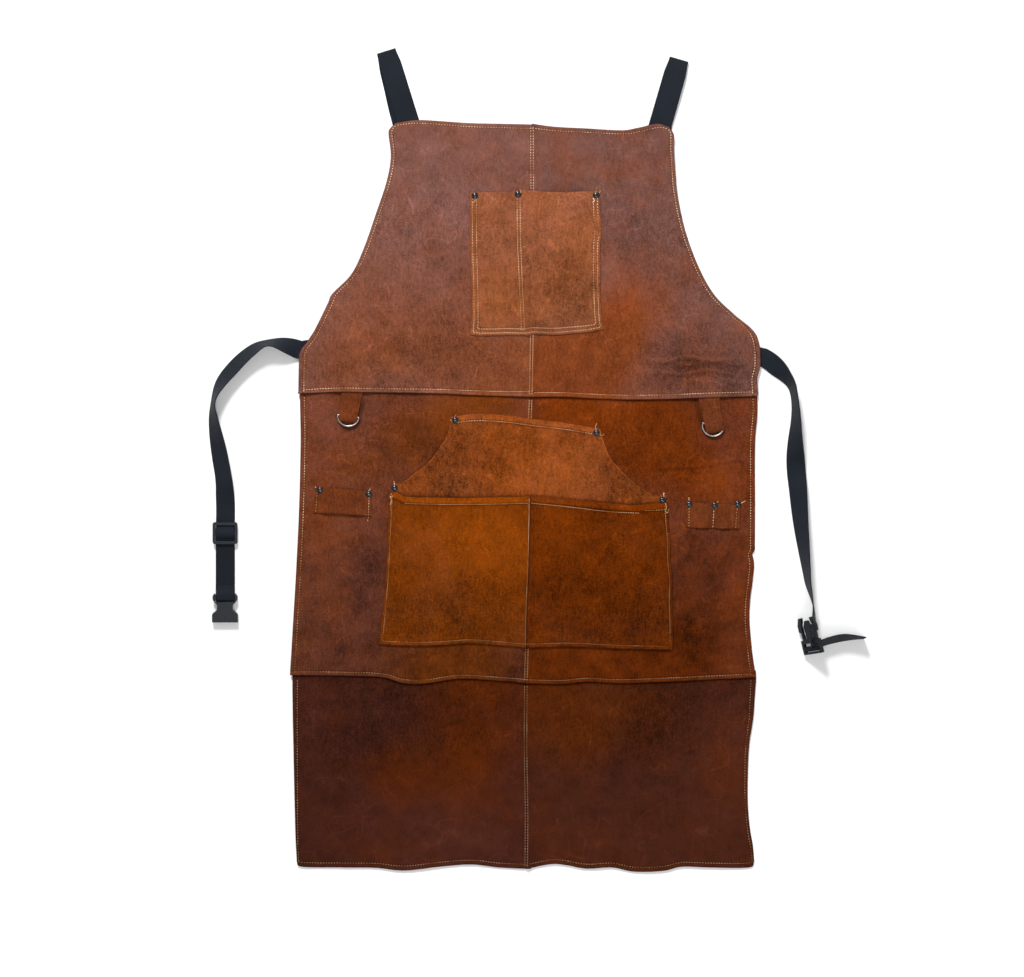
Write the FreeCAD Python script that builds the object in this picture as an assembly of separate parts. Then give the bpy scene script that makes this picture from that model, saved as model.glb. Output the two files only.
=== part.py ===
"""Leather welding apron, laid flat with its front up.

Frame: millimetres, +Z up out of the apron's front, +Y towards the top of the bib. The origin is on the
floor, under the middle of the leather.
"""

import FreeCAD, Part

import math
import os

from FreeCAD import Vector

# Driving dimensions of the leather
HALF_WIDTH = 312.0
HALF_HEIGHT = 548.0
LEATHER = 1.4
WAIST_Y = 85.0
LOWER_Y = -290.0
CENTRE_X = 4.0
BIB_RISE = 4.8
BIB_RAMP = 36.0
FOLD_GAP = 0.4
GAP = 0.3

# Pockets stand open by this much, so that a hand or a tool can enter
POCKET_GAP = 4.8
SEAM = 5.0
DIVIDER_SEAM = 8.0

# Webbing
WEB = 1.5
WAIST_WEB = 25.0
SHOULDER_WEB = 32.0

# Rivets
CAP_R = 4.5
CAP_H = 2.2
SHANK_R = 1.3
WASHER_R = 4.0
WASHER_H = 0.9
COLUMN_R = 5.2

# D-rings
RING_WIRE_R = 1.4
RING_INNER = 25.0
RING_DEPTH = 13.0
BORE_CLEARANCE = 0.3

# Side-release buckle
BAR_R = 1.6
SOCKET_H = 8.4
SOCKET_LENGTH = 38.0
SOCKET_MOUTH = 34.0
SOCKET_WAIST = 20.5
SOCKET_SHOULDER = 32.6
PLUG_WIDTH = 33.0
PLUG_H = 5.0
PRONG_REACH = 42.0
PLUG_ROLL = 50.0
PLUG_HEADING = 13.7
PLUG_AT = (380.5, -250.0, 16.8)

# Slider
SLIDER_WIDTH = 33.0
SLIDER_LENGTH = 29.0
SLIDER_BAR = 4.0
SLIDER_H = 3.4
STRAP_X = -399.0
SLIDER_Y = -97.5
SOCKET_BAR_Y = -181.0

BIB_BACK = BIB_RISE
BIB_FRONT = BIB_RISE + LEATHER
UPPER_WEB = BIB_BACK - 0.05 - WEB

BIB_LEFT = [(-182, 432), (-179, 402), (-185, 368), (-199, 326), (-214, 283), (-231, 247), (-259, 215),
            (-284, 165), (-299, 144), (-300, 127), (-299, 84)]
BIB_RIGHT = [(197, 432), (199, 381), (202, 351), (212, 305), (229, 258), (250, 220), (276, 194),
             (301, 173), (310, 156), (311.3, 127), (308, 84)]
BIB_TOP = [(-174, 446), (-144, 451), (8, 446), (127, 439), (190, 441)]
MIDDLE_LEFT = [(-299, 84), (-299, 21), (-305, -148), (-312, -285)]
MIDDLE_RIGHT = [(306, 84), (305, -64), (301, -131), (297, -216), (305, -285)]
SKIRT_LEFT = [(-310, -295), (-305, -494), (-304, -532), (-297, -541)]
SKIRT_RIGHT = [(306, -295), (297, -380), (295, -431), (304, -528), (297, -542)]
SKIRT_BOTTOM = [(-161, -546), (-72, -539), (0, -544), (55, -540), (144, -548), (208, -542)]

CHEST = [(-74, 356), (-73, 166), (103.5, 173), (99, 355)]
CHEST_DIVIDER = [(-9, 356), (-3, 168)]
HAND_TOP = [(-98, 56), (-53, 61), (8, 54.5), (100, 41)]
HAND_CURVE_LEFT = [(-100, 48), (-107, 27), (-121, 6), (-146, -16), (-171, -31)]
HAND_CURVE_RIGHT = [(101, 30), (110, 4), (126, -13), (153, -36), (180, -47)]
LOWER_TOP = [(-180, -46), (-149, -50.5), (6.5, -49.5), (100, -57.5), (186, -58)]
LOWER_BOTTOM = [(-191, -245), (2, -247), (197, -251)]
HAMMER_LOOP = [(-280, -38), (-282.5, -71), (-205, -75), (-205, -42)]
TOOL_LOOP = [(213, -55), (213, -90), (284.5, -92), (284.5, -60)]

CHEST_RIVETS = [(-67.6, 349.5), (-10, 350.5), (93.3, 349.5)]
HAND_RIVETS = [(-92.5, 51.5), (93.5, 36)]
LOWER_RIVETS = [(-173.5, -51), (180.5, -63)]
HAMMER_RIVETS = [(-273, -43), (-210.5, -47.5)]
TOOL_RIVETS = [(218.5, -60.5), (249.5, -62), (279, -64.5)]
MIDDLE_RIVETS = HAND_RIVETS + LOWER_RIVETS + HAMMER_RIVETS + TOOL_RIVETS

# Each D-ring tab: middle of its top edge, middle of its ring bar, and the bar's angle
TABS = {"left": ((-229.5, 81.0), (-235.5, 57.6), -8.0), "right": ((242.0, 81.0), (249.0, 44.5), -18.0)}
TAB_WIDTH = 27.0

# Routes of the free webbing, hand-laid
LEFT_ROUTE = [(-301, 145), (-342, 157), (-385, 127), (-413, 80), (-412, 20), (-401.5, -40),
              (STRAP_X, -105), (STRAP_X - 0.5, -176)]
RIGHT_ROUTE = [(314, 137), (347, 114), (360.5, 72), (359.5, 8), (363.5, -62), (374, -130), (385, -196)]
TAIL_ROUTE = [(400, -243), (418, -237), (434, -236), (451, -239)]

# Run of each shoulder strap: its roll over the top, its base at the bib's top edge, the turn behind
# the bib, and its end behind the opposite wing
SHOULDERS = {"left": [(-184, 541.65), (-160, 450), (-152, 418), (246, 196)],
             "right": [(204, 531), (179, 446), (170, 414), (-236, 194)]}


def point(p, z=0.0):
    return Vector(p[0], p[1], z)


def prism(points, z0, height):
    """Closed straight-sided prism on an outline."""
    corners = [point(p, z0) for p in points]
    wire = Part.makePolygon(corners + corners[:1])
    return Part.Face(wire).extrude(Vector(0, 0, height))


def curved_prism(stretches, z0, height):
    """Prism whose outline alternates between smooth stretches, joined by straight edges."""
    edges = []
    ends = []
    for stretch in stretches:
        pts = [point(p, z0) for p in stretch]
        if len(pts) == 2:
            edge = Part.makeLine(pts[0], pts[1])
        else:
            curve = Part.BSplineCurve()
            curve.interpolate(pts)
            edge = curve.toShape()
        edges.append(edge)
        ends.append((pts[0], pts[-1]))
    loop = []
    for k, edge in enumerate(edges):
        loop.append(edge)
        here = ends[k][1]
        there = ends[(k + 1) % len(ends)][0]
        if here.distanceToPoint(there) > 1e-6:
            loop.append(Part.makeLine(here, there))
    return Part.Face(Part.Wire(loop)).extrude(Vector(0, 0, height))


def slab(x0, x1, y0, y1, z0, z1):
    return Part.makeBox(x1 - x0, y1 - y0, z1 - z0, Vector(x0, y0, z0))


def cylinder(p, z0, radius, height):
    return Part.makeCylinder(radius, height, point(p, z0))


def unit(p, q):
    dx = q[0] - p[0]
    dy = q[1] - p[1]
    length = math.hypot(dx, dy)
    return dx / length, dy / length


def along(p, q, width, z0, height, start=0.0, stop=0.0):
    """Flat bar from p to q, lengthened by start and stop at its ends."""
    ux, uy = unit(p, q)
    a = (p[0] - ux * start, p[1] - uy * start)
    b = (q[0] + ux * stop, q[1] + uy * stop)
    hx = -uy * width / 2
    hy = ux * width / 2
    corners = [(a[0] + hx, a[1] + hy), (a[0] - hx, a[1] - hy), (b[0] - hx, b[1] - hy), (b[0] + hx, b[1] + hy)]
    return prism(corners, z0, height)


def fuse(shapes):
    return shapes[0].fuse(shapes[1:]).removeSplitter() if len(shapes) > 1 else shapes[0]


def drill(shape, spots, z0, z1):
    """Cut a shank hole at each rivet."""
    for spot in spots:
        shape = shape.cut(cylinder(spot, z0, SHANK_R + 0.05, z1 - z0))
    return shape


# Leather body

def bib_profile(x0, x1):
    """Bent plate: flat at the waist seam, a ramp, then flat over the webbing behind the bib."""
    y0 = WAIST_Y + FOLD_GAP / 2
    y1 = y0 + BIB_RAMP
    section = [(y0, 0), (y0 + 3, 0), (y1, BIB_BACK), (HALF_HEIGHT, BIB_BACK), (HALF_HEIGHT, BIB_FRONT),
               (y1 - 1, BIB_FRONT), (y0 + 2, LEATHER), (y0, LEATHER)]
    corners = [Vector(x0, y, z) for y, z in section]
    face = Part.Face(Part.makePolygon(corners + corners[:1]))
    return face.extrude(Vector(x1 - x0, 0, 0))


def bib_outline():
    left = list(reversed(BIB_LEFT))
    return curved_prism([left, BIB_TOP, BIB_RIGHT], -1, 20)


def bib_panel(side):
    x0, x1 = (-HALF_WIDTH - 5, CENTRE_X) if side == "left" else (CENTRE_X, HALF_WIDTH + 5)
    panel = bib_profile(x0, x1).common(bib_outline())
    spots = [s for s in CHEST_RIVETS if (s[0] < CENTRE_X) == (side == "left")]
    return drill(panel, spots, 0, 20)


def panel_half(left, right, side, y0, y1, bottom):
    """One half of a flat band of leather between y0 and y1."""
    outline = [(left[0][0], y1)] + left[1:] + bottom + list(reversed(right[1:])) + [(right[0][0], y1)]
    whole = prism(outline, 0, LEATHER)
    x0, x1 = (-HALF_WIDTH - 5, CENTRE_X) if side == "left" else (CENTRE_X, HALF_WIDTH + 5)
    return whole.common(slab(x0, x1, y0, y1, -1, LEATHER + 1))


def middle_panel(side):
    bottom = [(-HALF_WIDTH, LOWER_Y + GAP / 2), (305, LOWER_Y + GAP / 2)]
    panel = panel_half(MIDDLE_LEFT, MIDDLE_RIGHT, side, LOWER_Y + FOLD_GAP / 2, WAIST_Y - FOLD_GAP / 2, bottom)
    spots = [s for s in MIDDLE_RIVETS if (s[0] < CENTRE_X) == (side == "left")]
    for spot in spots:
        panel = panel.cut(cylinder(spot, -1, WASHER_R + 0.05, WASHER_H + 1.05))
    return drill(panel, spots, -1, 20)


def skirt_panel(side):
    return panel_half(SKIRT_LEFT, SKIRT_RIGHT, side, -HALF_HEIGHT - 5, LOWER_Y - FOLD_GAP / 2, SKIRT_BOTTOM)


# Pockets and loops

def shrunk(outline, sides):
    """Cavity outline: each side moved inwards (positive) or outwards by its own amount."""
    lines = []
    for k, p in enumerate(outline):
        q = outline[(k + 1) % len(outline)]
        ux, uy = unit(p, q)
        nx, ny = -uy, ux
        d = sides[k]
        lines.append(((p[0] + nx * d, p[1] + ny * d), (ux, uy)))
    corners = []
    for k in range(len(lines)):
        (ax, ay), (ux, uy) = lines[k - 1]
        (bx, by), (vx, vy) = lines[k]
        t = ((bx - ax) * vy - (by - ay) * vx) / (ux * vy - uy * vx)
        corners.append((ax + ux * t, ay + uy * t))
    return corners


def columns(shape, spots, z0):
    """Leather pinched solid under each rivet, then drilled for its shank."""
    shape = fuse([shape] + [cylinder(s, z0, COLUMN_R, POCKET_GAP + LEATHER) for s in spots])
    return drill(shape, spots, z0 - 1, z0 + POCKET_GAP + LEATHER + 1)


def chest_pocket():
    z0 = BIB_FRONT
    body = prism(CHEST, z0, POCKET_GAP + LEATHER)
    cavity = prism(shrunk(CHEST, [SEAM, SEAM, SEAM, -10]), z0 - 1, POCKET_GAP + 1)
    wall = along(CHEST_DIVIDER[0], CHEST_DIVIDER[1], DIVIDER_SEAM, z0, POCKET_GAP + 0.5)
    wall = wall.common(prism(CHEST, z0, POCKET_GAP + LEATHER))
    shape = fuse([body.cut(cavity), wall])
    corners = [s for s in CHEST_RIVETS]
    shape = fuse([shape] + [cylinder(s, z0, COLUMN_R, POCKET_GAP + 0.5) for s in corners])
    shape = shape.common(prism(CHEST, z0, POCKET_GAP + LEATHER))
    return drill(shape, CHEST_RIVETS, z0 - 1, z0 + 20)


def hand_outline():
    left_side = [HAND_CURVE_LEFT[-1], (-177, -43), LOWER_BOTTOM[0]]
    right_side = [LOWER_BOTTOM[-1], (186.5, -52), HAND_CURVE_RIGHT[-1]]
    return [HAND_CURVE_LEFT, left_side[1:], LOWER_BOTTOM[1:], right_side[1:], list(reversed(HAND_CURVE_RIGHT)),
            list(reversed(HAND_TOP))]


def polygon_of(stretches):
    pts = []
    for stretch in stretches:
        for p in stretch:
            if not pts or math.dist(p, pts[-1]) > 0.01:
                pts.append(p)
    return pts


def hand_pocket_panel():
    z0 = LEATHER
    full = prism(polygon_of(hand_outline()), z0, POCKET_GAP + LEATHER)
    # The cavity runs out of both curved sides and is closed by the top hem, the lower sides and the bottom
    cavity = [(-400, 26), (-104, 49), (-53, 52), (8, 45), (102, 30), (400, 8), (400, -56), (181, -56),
              (191.5, -246), (2, -242), (-186, -240), (-172.5, -44), (-400, -44)]
    shape = full.cut(prism(cavity, z0 - 1, POCKET_GAP + 1))
    z1 = z0 + POCKET_GAP + LEATHER
    shape = fuse([shape] + [cylinder(s, z0, COLUMN_R, POCKET_GAP + 0.5) for s in HAND_RIVETS + LOWER_RIVETS])
    shape = shape.common(full)
    return drill(shape, HAND_RIVETS + LOWER_RIVETS, z0 - 1, z1 + 1)


def lower_pocket(side):
    z0 = LEATHER * 2 + POCKET_GAP
    if side == "left":
        outline = [LOWER_TOP[0], LOWER_BOTTOM[0], (CENTRE_X - 0.1, -247), (CENTRE_X - 0.1, -49.5)]
        spot = LOWER_RIVETS[0]
    else:
        outline = [(CENTRE_X + 0.1, -49.5), (CENTRE_X + 0.1, -247), LOWER_BOTTOM[2], (187, -58), (100, -57.5)]
        spot = LOWER_RIVETS[1]
    sides = [SEAM, SEAM, SEAM, -10] if side == "left" else [SEAM, SEAM, SEAM, -10, -10]
    body = prism(outline, z0, POCKET_GAP + LEATHER)
    shape = body.cut(prism(shrunk(outline, sides), z0 - 1, POCKET_GAP + 1))
    shape = fuse([shape, cylinder(spot, z0, COLUMN_R, POCKET_GAP + 0.5)]).common(body)
    return drill(shape, [spot], z0 - 1, z0 + 20)


def loop_strip(outline, spots, walls):
    """Strip of leather over the panel, fixed at each wall and open along Y between them."""
    z0 = LEATHER
    body = prism(outline, z0, POCKET_GAP + LEATHER)
    shape = body.cut(slab(-400, 400, -200, 0, z0 - 1, z0 + POCKET_GAP))
    posts = [slab(x0, x1, -200, 0, z0, z0 + POCKET_GAP + 0.5).common(body) for x0, x1 in walls]
    shape = fuse([shape] + posts)
    return drill(shape, spots, z0 - 1, z0 + 20)


# Rivets

def rivets(spots, z_back, z_front):
    """Domed caps on shanks that reach the washers behind the leather."""
    solids = []
    for spot in spots:
        sphere_r = (CAP_R ** 2 + CAP_H ** 2) / (2 * CAP_H)
        ball = Part.makeSphere(sphere_r, point(spot, z_front + CAP_H - sphere_r))
        dome = ball.common(cylinder(spot, z_front, CAP_R + 1, CAP_H + 1))
        shank = cylinder(spot, z_back, SHANK_R, z_front - z_back + 0.5)
        solids.append(fuse([dome, shank]))
    return Part.makeCompound(solids)


def washers(spots, z_back):
    solids = []
    for spot in spots:
        ring = cylinder(spot, z_back - WASHER_H, WASHER_R, WASHER_H)
        solids.append(ring.cut(cylinder(spot, z_back - WASHER_H - 1, SHANK_R + 0.05, WASHER_H + 2)))
    return Part.makeCompound(solids)


# D-rings and their tabs

def tab_frame(side):
    top, bar, angle = TABS[side]
    radius = RING_WIRE_R + BORE_CLEARANCE + LEATHER
    z = LEATHER + 0.05 + radius
    turn = math.radians(angle)
    return top, bar, radius, z, Vector(math.cos(turn), math.sin(turn), 0)


def d_ring_tab(side):
    top, bar, radius, z, direction = tab_frame(side)
    centre = point(bar, z)
    half = TAB_WIDTH / 2 - 1.5
    barrel = Part.makeCylinder(radius, 2 * half, centre - direction * half, direction)
    low = [bar[0] - direction.x * half, bar[1] - direction.y * half]
    high = [bar[0] + direction.x * half, bar[1] + direction.y * half]
    z0 = LEATHER + 0.05
    corners = [(top[0] - TAB_WIDTH / 2, top[1]), low, high, (top[0] + TAB_WIDTH / 2, top[1])]
    plate = prism(corners, z0 + 0.1, 2 * LEATHER)
    shape = fuse([barrel, plate])
    reach = half + 5
    bore = Part.makeCylinder(RING_WIRE_R + BORE_CLEARANCE, 2 * reach, centre - direction * reach, direction)
    return shape.cut(bore)


def d_ring(side):
    """Straight bar in the tab's loop and a bent wire on its free side."""
    _, bar, _, z, direction = tab_frame(side)
    centre = point(bar, z)
    half = RING_INNER / 2 + RING_WIRE_R
    down = Vector(direction.y, -direction.x, 0)
    a = centre - direction * half
    b = centre + direction * half
    straight = 2.0
    a1 = a + down * straight
    b1 = b + down * straight
    mid = centre + down * (RING_DEPTH + straight - 2.0)
    path = Part.Wire([Part.makeLine(a, a1), Part.Arc(a1, mid, b1).toShape(), Part.makeLine(b1, b)])
    circle = Part.Wire(Part.makeCircle(RING_WIRE_R, a, down))
    bow = path.makePipeShell([circle], True, True)
    rod = Part.makeCylinder(RING_WIRE_R, 2 * half, a, direction)
    ends = [Part.makeSphere(RING_WIRE_R, a), Part.makeSphere(RING_WIRE_R, b)]
    return fuse([bow, rod] + ends)


# Shoulder straps and the leather behind the bib

def shoulder_strap(side):
    roll, base, turn, end = SHOULDERS[side]
    lift = 0.0 if side == "left" else WEB + 0.05
    sewn = 40.0
    upper = along(base, roll, SHOULDER_WEB, UPPER_WEB, WEB, start=sewn)
    lower = along(roll, turn, SHOULDER_WEB, 0, WEB)
    ux, uy = unit(base, roll)
    outer = (UPPER_WEB + WEB) / 2
    axis = Vector(-uy, ux, 0)
    start = point(roll, outer) - axis * (SHOULDER_WEB / 2)
    tube = Part.makeCylinder(outer, SHOULDER_WEB, start, axis)
    tube = tube.cut(Part.makeCylinder(outer - WEB, SHOULDER_WEB, start, axis))
    half = along(roll, (roll[0] + ux * 10, roll[1] + uy * 10), SHOULDER_WEB + 2, -1, 20)
    bend = cylinder(turn, 0, SHOULDER_WEB / 2, lift + WEB)
    diagonal = along(turn, end, SHOULDER_WEB, lift, WEB)
    return fuse([upper, tube.common(half), lower, bend, diagonal])


def patch(corners):
    """Leather patch behind the bib, on the webbing that it holds."""
    return prism(corners, 2 * WEB + 0.1, 1.6)


def waist_anchor(side):
    """End of the waist webbing, sewn behind the wing."""
    x0, x1 = (-297.5, -252) if side == "left" else (262, 309.5)
    y = LEFT_ROUTE[0][1] if side == "left" else RIGHT_ROUTE[0][1]
    return slab(x0, x1, y - WAIST_WEB / 2, y + WAIST_WEB / 2, WEB + 0.1, 2 * WEB + 0.1)


# Free webbing

def ribbon(route, width, z0, height, name):
    """Flat webbing along a route of straight runs joined by tangent arcs. Prints the arcs' radii."""
    runs = [math.dist(p, q) for p, q in zip(route, route[1:])]
    cuts = [0.0] * len(route)
    pieces = []
    radii = []
    for k in range(1, len(route) - 1):
        ax, ay = unit(route[k - 1], route[k])
        bx, by = unit(route[k], route[k + 1])
        turn = math.atan2(ax * by - ay * bx, ax * bx + ay * by)
        reach = 0.45 * min(runs[k - 1], runs[k])
        radius = reach / math.tan(abs(turn) / 2)
        radii.append(round(radius))
        cuts[k] = reach
        side = 1 if turn > 0 else -1
        start = (route[k][0] - ax * reach, route[k][1] - ay * reach)
        centre = (start[0] - ay * side * radius, start[1] + ax * side * radius)
        first = math.degrees(math.atan2(start[1] - centre[1], start[0] - centre[0]))
        begin = first if side > 0 else first + math.degrees(turn)
        disc = Part.makeCylinder(radius + width / 2, height, point(centre, z0), Vector(0, 0, 1), abs(math.degrees(turn)))
        hole = Part.makeCylinder(radius - width / 2, height, point(centre, z0))
        sector = disc.cut(hole)
        sector.rotate(point(centre), Vector(0, 0, 1), begin)
        pieces.append(sector)
    for k in range(len(runs)):
        ux, uy = unit(route[k], route[k + 1])
        a = (route[k][0] + ux * cuts[k], route[k][1] + uy * cuts[k])
        b = (route[k + 1][0] - ux * cuts[k + 1], route[k + 1][1] - uy * cuts[k + 1])
        pieces.append(along(a, b, width, z0, height))
    shape = fuse(pieces)
    length = shape.Volume / (width * height)
    print(name, "runs", [round(r) for r in runs], "radii", radii, "length", round(length))
    return shape


def left_waist_strap():
    shape = ribbon(LEFT_ROUTE, WAIST_WEB, 0, WEB, "left waist strap")
    y = SOCKET_BAR_Y
    radius = BAR_R + 0.4 + WEB
    eye = Part.makeCylinder(radius, WAIST_WEB, Vector(STRAP_X - WAIST_WEB / 2, y, radius), Vector(1, 0, 0))
    bore = Part.makeCylinder(BAR_R + 0.4, WAIST_WEB, Vector(STRAP_X - WAIST_WEB / 2, y, radius), Vector(1, 0, 0))
    tongue = slab(STRAP_X - WAIST_WEB / 2, STRAP_X + WAIST_WEB / 2, y, -172, 0, WEB)
    return fuse([shape, tongue, eye]).cut(bore)


def left_strap_return():
    """Second layer of the doubled run, from the buckle's eye up to the slider."""
    x0 = STRAP_X - WAIST_WEB / 2
    return slab(x0, x0 + WAIST_WEB, SOCKET_BAR_Y + 4.2, SLIDER_Y - SLIDER_LENGTH / 2 + 12, WEB + 0.05, 2 * WEB + 0.05)


def slider_frame():
    z0 = 2 * WEB + 0.35
    x0 = STRAP_X - SLIDER_WIDTH / 2
    y0 = SLIDER_Y - SLIDER_LENGTH / 2
    shape = slab(x0, x0 + SLIDER_WIDTH, y0, y0 + SLIDER_LENGTH, z0, z0 + SLIDER_H)
    rim = (SLIDER_WIDTH - WAIST_WEB - 1.0) / 2
    for y in (y0 + SLIDER_BAR, SLIDER_Y + 2.0):
        depth = SLIDER_LENGTH / 2 - SLIDER_BAR - 2.0
        shape = shape.cut(slab(x0 + rim, x0 + SLIDER_WIDTH - rim, y, y + depth, z0 - 1, z0 + SLIDER_H + 1))
    upright = [e for e in shape.Edges if abs(e.tangentAt(e.FirstParameter).z) > 0.99]
    outer = [e for e in upright if abs(abs(e.CenterOfMass.x - STRAP_X) - SLIDER_WIDTH / 2) < 0.1]
    shape = shape.makeFillet(3.0, outer)
    relief = slab(x0 + rim, x0 + SLIDER_WIDTH - rim, SLIDER_Y - 2.0, SLIDER_Y + 2.0, z0 - 1, z0 + WEB + 0.1)
    return shape.cut(relief)


def slider_wrap():
    """Webbing looped over the slider's middle bar."""
    z0 = 2 * WEB + 0.35
    x0 = STRAP_X - WAIST_WEB / 2
    top = z0 + SLIDER_H + 0.05
    over = slab(x0, x0 + WAIST_WEB, SLIDER_Y - 4.0, SLIDER_Y + 4.0, top, top + WEB)
    legs = [slab(x0, x0 + WAIST_WEB, y, y + 1.5, z0, top + 0.5) for y in (SLIDER_Y - 4.0, SLIDER_Y + 2.5)]
    return fuse([over] + legs)


# Buckle

def socket_shell():
    """Receiving half: strap bar at the top, waisted sides, open mouth at the bottom."""
    cx = STRAP_X
    y0 = SOCKET_BAR_Y + 3.0
    y1 = y0 - SOCKET_LENGTH
    z0 = 0.3
    s = SOCKET_SHOULDER / 2
    w = SOCKET_WAIST / 2
    m = SOCKET_MOUTH / 2
    right = [(s - 2, y0), (s, y0 - 3), (s, y0 - 8), (w, y0 - 15), (w, y0 - 21), (m - 1, y0 - 26), (m, y0 - 28), (m, y1)]
    outline = [(cx + x, y) for x, y in right] + [(cx - x, y) for x, y in reversed(right)]
    shape = prism(outline, z0, SOCKET_H)
    room = WAIST_WEB / 2 + 0.7
    slot = slab(cx - room, cx + room, y0 - 11, y0 + 1, z0 - 1, z0 + SOCKET_H + 1)
    shape = shape.cut(slot)
    cheek_z = BAR_R + 0.4 + WEB
    bar = Part.makeCylinder(BAR_R, 2 * room + 2, Vector(cx - room - 1, SOCKET_BAR_Y, cheek_z), Vector(1, 0, 0))
    mouth = slab(cx - m + 1.6, cx + m - 1.6, y1 - 1, y0 - 27, z0 + 1.6, z0 + SOCKET_H - 1.6)
    tunnel = slab(cx - w + 1.6, cx + w - 1.6, y1 - 1, y0 - 13, z0 + 1.6, z0 + SOCKET_H - 1.6)
    return fuse([shape, bar]).cut(mouth).cut(tunnel)


def plug_place(shape):
    """From the plug's own frame (bar at the origin, prongs towards +Y) to where it lies on its edge."""
    shape = shape.copy()
    shape.rotate(Vector(0, 0, 0), Vector(0, 1, 0), -PLUG_ROLL)
    shape.rotate(Vector(0, 0, 0), Vector(0, 0, 1), PLUG_HEADING)
    shape.translate(Vector(*PLUG_AT))
    return shape


def plug_body():
    half = PLUG_WIDTH / 2
    frame = slab(-half, half, -7, 12, -PLUG_H / 2, PLUG_H / 2)
    room = WAIST_WEB / 2 + 0.7
    frame = frame.cut(slab(-room, room, -4.2, 7.5, -10, 10))
    bar = Part.makeCylinder(BAR_R, 2 * room + 2, Vector(-room - 1, 0, 0), Vector(1, 0, 0))
    guide = slab(-2.0, 2.0, 11, PRONG_REACH - 4, -1.6, 1.6)
    spine = slab(-half + 3, half - 3, 11, 14, -1.6, 1.6)
    return plug_place(fuse([frame, bar, guide, spine]))


def plug_prong(side):
    """Sprung arm with its locking shoulder, rooted on the plug's frame."""
    half = PLUG_WIDTH / 2
    outline = [(half - 7.0, 14.3), (half - 3.4, 14.3), (half - 3.6, 22), (half, 24), (half, 32), (half - 4, PRONG_REACH),
               (half - 9, PRONG_REACH), (half - 8, 36), (half - 5.5, 31), (half - 6.2, 24)]
    sign = 1 if side == "right" else -1
    outline = [(sign * x, y) for x, y in outline]
    return plug_place(prism(outline, -1.9, 3.8))


def plug_strap_end():
    """Webbing of the right waist strap where it passes round the plug's bar."""
    room = WAIST_WEB / 2
    inner = BAR_R + 0.35
    tube = Part.makeCylinder(inner + WEB, 2 * room, Vector(-room, 0, 0), Vector(1, 0, 0))
    tube = tube.cut(Part.makeCylinder(inner, 2 * room, Vector(-room, 0, 0), Vector(1, 0, 0)))
    return plug_place(tube)


def band(first, second):
    """Webbing that twists between two straight edges, each given by its two ends on the webbing's lower face."""
    wires = []
    for a, b, normal in (first, second):
        up = normal * WEB
        wires.append(Part.makePolygon([a, b, b + up, a + up, a]))
    return Part.makeLoft(wires, True, True)


def plug_edge(y, z, x0, x1):
    """Straight edge across the plug, at y and z in its own frame, and the plug's normal."""
    line = plug_place(Part.makeLine(Vector(x0, y, z), Vector(x1, y, z)))
    normal = plug_place(Part.makeLine(Vector(0, 0, 0), Vector(0, 0, 1)))
    ends = [v.Point for v in line.Vertexes]
    return ends[0], ends[1], normal.Vertexes[1].Point - normal.Vertexes[0].Point


def strap_twist():
    """The right strap's last stretch, from the floor up to the plug's bar."""
    x, y = RIGHT_ROUTE[-1]
    ux, uy = unit(RIGHT_ROUTE[-2], RIGHT_ROUTE[-1])
    half = WAIST_WEB / 2
    floor_edge = (Vector(x + uy * half, y - ux * half, 0), Vector(x - uy * half, y + ux * half, 0), Vector(0, 0, 1))
    eye = BAR_R + 0.35 + WEB
    return band(floor_edge, plug_edge(-0.5, -eye, -half, half))


def strap_fold():
    """Webbing that folds over from the plug's bar down to the tail on the floor."""
    ux, uy = unit(TAIL_ROUTE[0], TAIL_ROUTE[1])
    half = WAIST_WEB / 2
    x, y = TAIL_ROUTE[0]
    low = Vector(x + uy * half, y - ux * half, 0.0)
    high = Vector(x - uy * half, y + ux * half, 0.0)
    eye = BAR_R + 0.35 + WEB
    return band((low, high, Vector(0, 0, 1)), plug_edge(-2.0, -eye, -2.0, half))


def export(name, shape):
    shape.exportStep("parts/" + name + ".step")
    box = shape.BoundBox
    print(f"{name:24s} solids {len(shape.Solids)} valid {shape.isValid()} vol {shape.Volume:9.0f} "
          f"x {box.XMin:.1f} {box.XMax:.1f} y {box.YMin:.1f} {box.YMax:.1f} z {box.ZMin:.2f} {box.ZMax:.2f}")


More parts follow.
